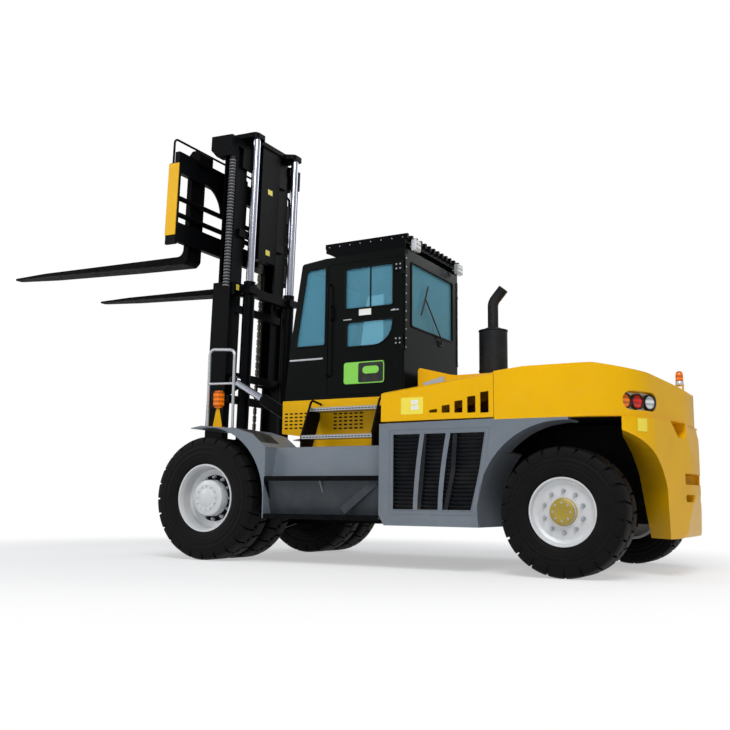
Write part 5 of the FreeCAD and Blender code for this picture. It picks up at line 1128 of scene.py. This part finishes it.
def cushion(name, outline, half_width):
    """Skin with an (x, z) outline, voxel-meshed, then inflated by cloth pressure without gravity."""
    foam = placed(plate(outline, 2 * (half_width - EDGE), EDGE), at(y=EDGE - half_width))
    piece = bpy.data.objects.new(name, foam)
    bpy.context.scene.collection.objects.link(piece)
    remesh = piece.modifiers.new("even mesh", "REMESH")
    remesh.mode = "VOXEL"
    remesh.voxel_size = 0.012
    even = applied(piece)
    piece.modifiers.clear()
    piece.data = even
    bpy.data.meshes.remove(foam)
    cloth = piece.modifiers.new("skin", "CLOTH")
    settings = cloth.settings
    settings.use_pressure = True
    settings.uniform_pressure_force = 4
    settings.tension_stiffness = settings.compression_stiffness = 40
    settings.effector_weights.gravity = 0
    cloth.point_cache.frame_start, cloth.point_cache.frame_end = 1, 20
    scene = bpy.context.scene
    rest = [v.co.copy() for v in even.vertices]
    for number in range(1, 21):
        scene.frame_set(number)
        bpy.context.view_layer.update()
    blown = applied(piece)
    piece.modifiers.clear()
    scene.frame_set(1)
    centre = sum(rest, Vector()) / len(rest)
    middle = sum((v.co for v in blown.vertices), Vector()) / len(rest)
    moves = []
    for v, start in zip(even.vertices, rest):
        move = blown.vertices[v.index].co - middle + centre - start
        v.co = start + move * min(1, SWELL / max(move.length, 1e-6))
        moves.append((v.co - start).length)
    print("  blown by up to", round(max(moves) * 1000, 1), "mm")
    bpy.data.meshes.remove(blown)
    smooth = piece.modifiers.new("smooth", "SUBSURF")
    smooth.levels = smooth.render_levels = 1
    done = applied(piece)
    bpy.data.objects.remove(piece)
    return done


low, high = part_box("seat_cushions")
back_foot = high.z - 0.690
seat = [(-0.990, 0.006), (-0.984, 0.080), (-1.020, 0.104), (-1.360, 0.084), (-1.378, 0.006)]
back = [(-1.398, 0.010), (-1.396, 0.060), (-1.492, 0.672), (-1.530, 0.682), (-1.578, 0.655), (-1.515, 0.010)]
skin = cushion("seat", [(x, low.z + z) for x, z in seat], 0.255)
seat_piece = hang("seat_cushion", [skin], vinyl, "chassis", ["seat_cushions"])
skin = cushion("back", [(x, back_foot + z) for x, z in back], 0.245)
back_piece = hang("back_cushion", [skin], vinyl, "chassis")

# %% Levers
knob = [(0, -0.020), (0.014, -0.016), (0.018, 0), (0.014, 0.016), (0, 0.020)]
levers = []
for x in (-0.860, -0.910, -0.960, -1.010):
    line = [(x, -0.390, 2.325), (x + 0.01, -0.390, 2.395), (x + 0.03, -0.385, 2.450)]
    levers.append(along(line, 0.006, abs_plastic, 0.02, 8))
    levers.append(placed(lathe(knob, 16), at(x + 0.032, -0.385, 2.462) @ upright))
hang("hydraulic_levers", levers, abs_plastic, "chassis")

# %% [markdown]
# ## Painting the CAD pieces
# A CAD node keeps its shape and only gets a finish, so the list below is the painter's job sheet.

# %% Job sheet
job_sheet = {
    yellow: ["counterweight", "hood_centre", "cab_base", "carriage_strips"] + ["hood_" + s for s in SIDES],
    grey: ["fenders", "side_boxes"],
    black: ["frame", "outer_mast", "inner_mast", "lift_barrels", "carriage", "roof_guard", "seat_base",
            "step_brackets"] + ["tilt_barrel_" + s for s in SIDES],
    cab_black: ["cab_floor", "cab_front", "cab_sides", "cab_rear", "cab_roof"] + ["door_" + s for s in SIDES],
    chrome: ["lift_rods"] + ["tilt_rod_" + s for s in SIDES],
    rim_silver: [kind + "_rim_" + s for kind in ("front", "rear") for s in SIDES],
    zinc: ["steps", "grab_rails"],
    forged: ["fork_" + s for s in SIDES],
    cast: ["front_axle", "steer_axle", "engine"] + ["steer_knuckle_" + s for s in SIDES],
    chain_steel: ["upper_chains", "lower_chains"],
    exhaust_black: ["exhaust", "grilles"],
    rubber: ["front_tyres_" + s for s in SIDES] + ["rear_tyre_" + s for s in SIDES],
    hose_plastic: ["hose_guards"],
    abs_plastic: ["console"],
    vinyl: ["seat_cushions"],
    cab_glass: ["cab_glass"] + ["door_glass_" + s for s in SIDES],
    bright: ["lamps"],
}
for finish, names in job_sheet.items():
    for name in names:
        mesh = nodes[name].data
        mesh.materials.clear()
        mesh.materials.append(finish)
painted = [name for names in job_sheet.values() for name in names]
print("painted", len(painted), "of", len(nodes), "missing", sorted(set(nodes) - set(painted)))
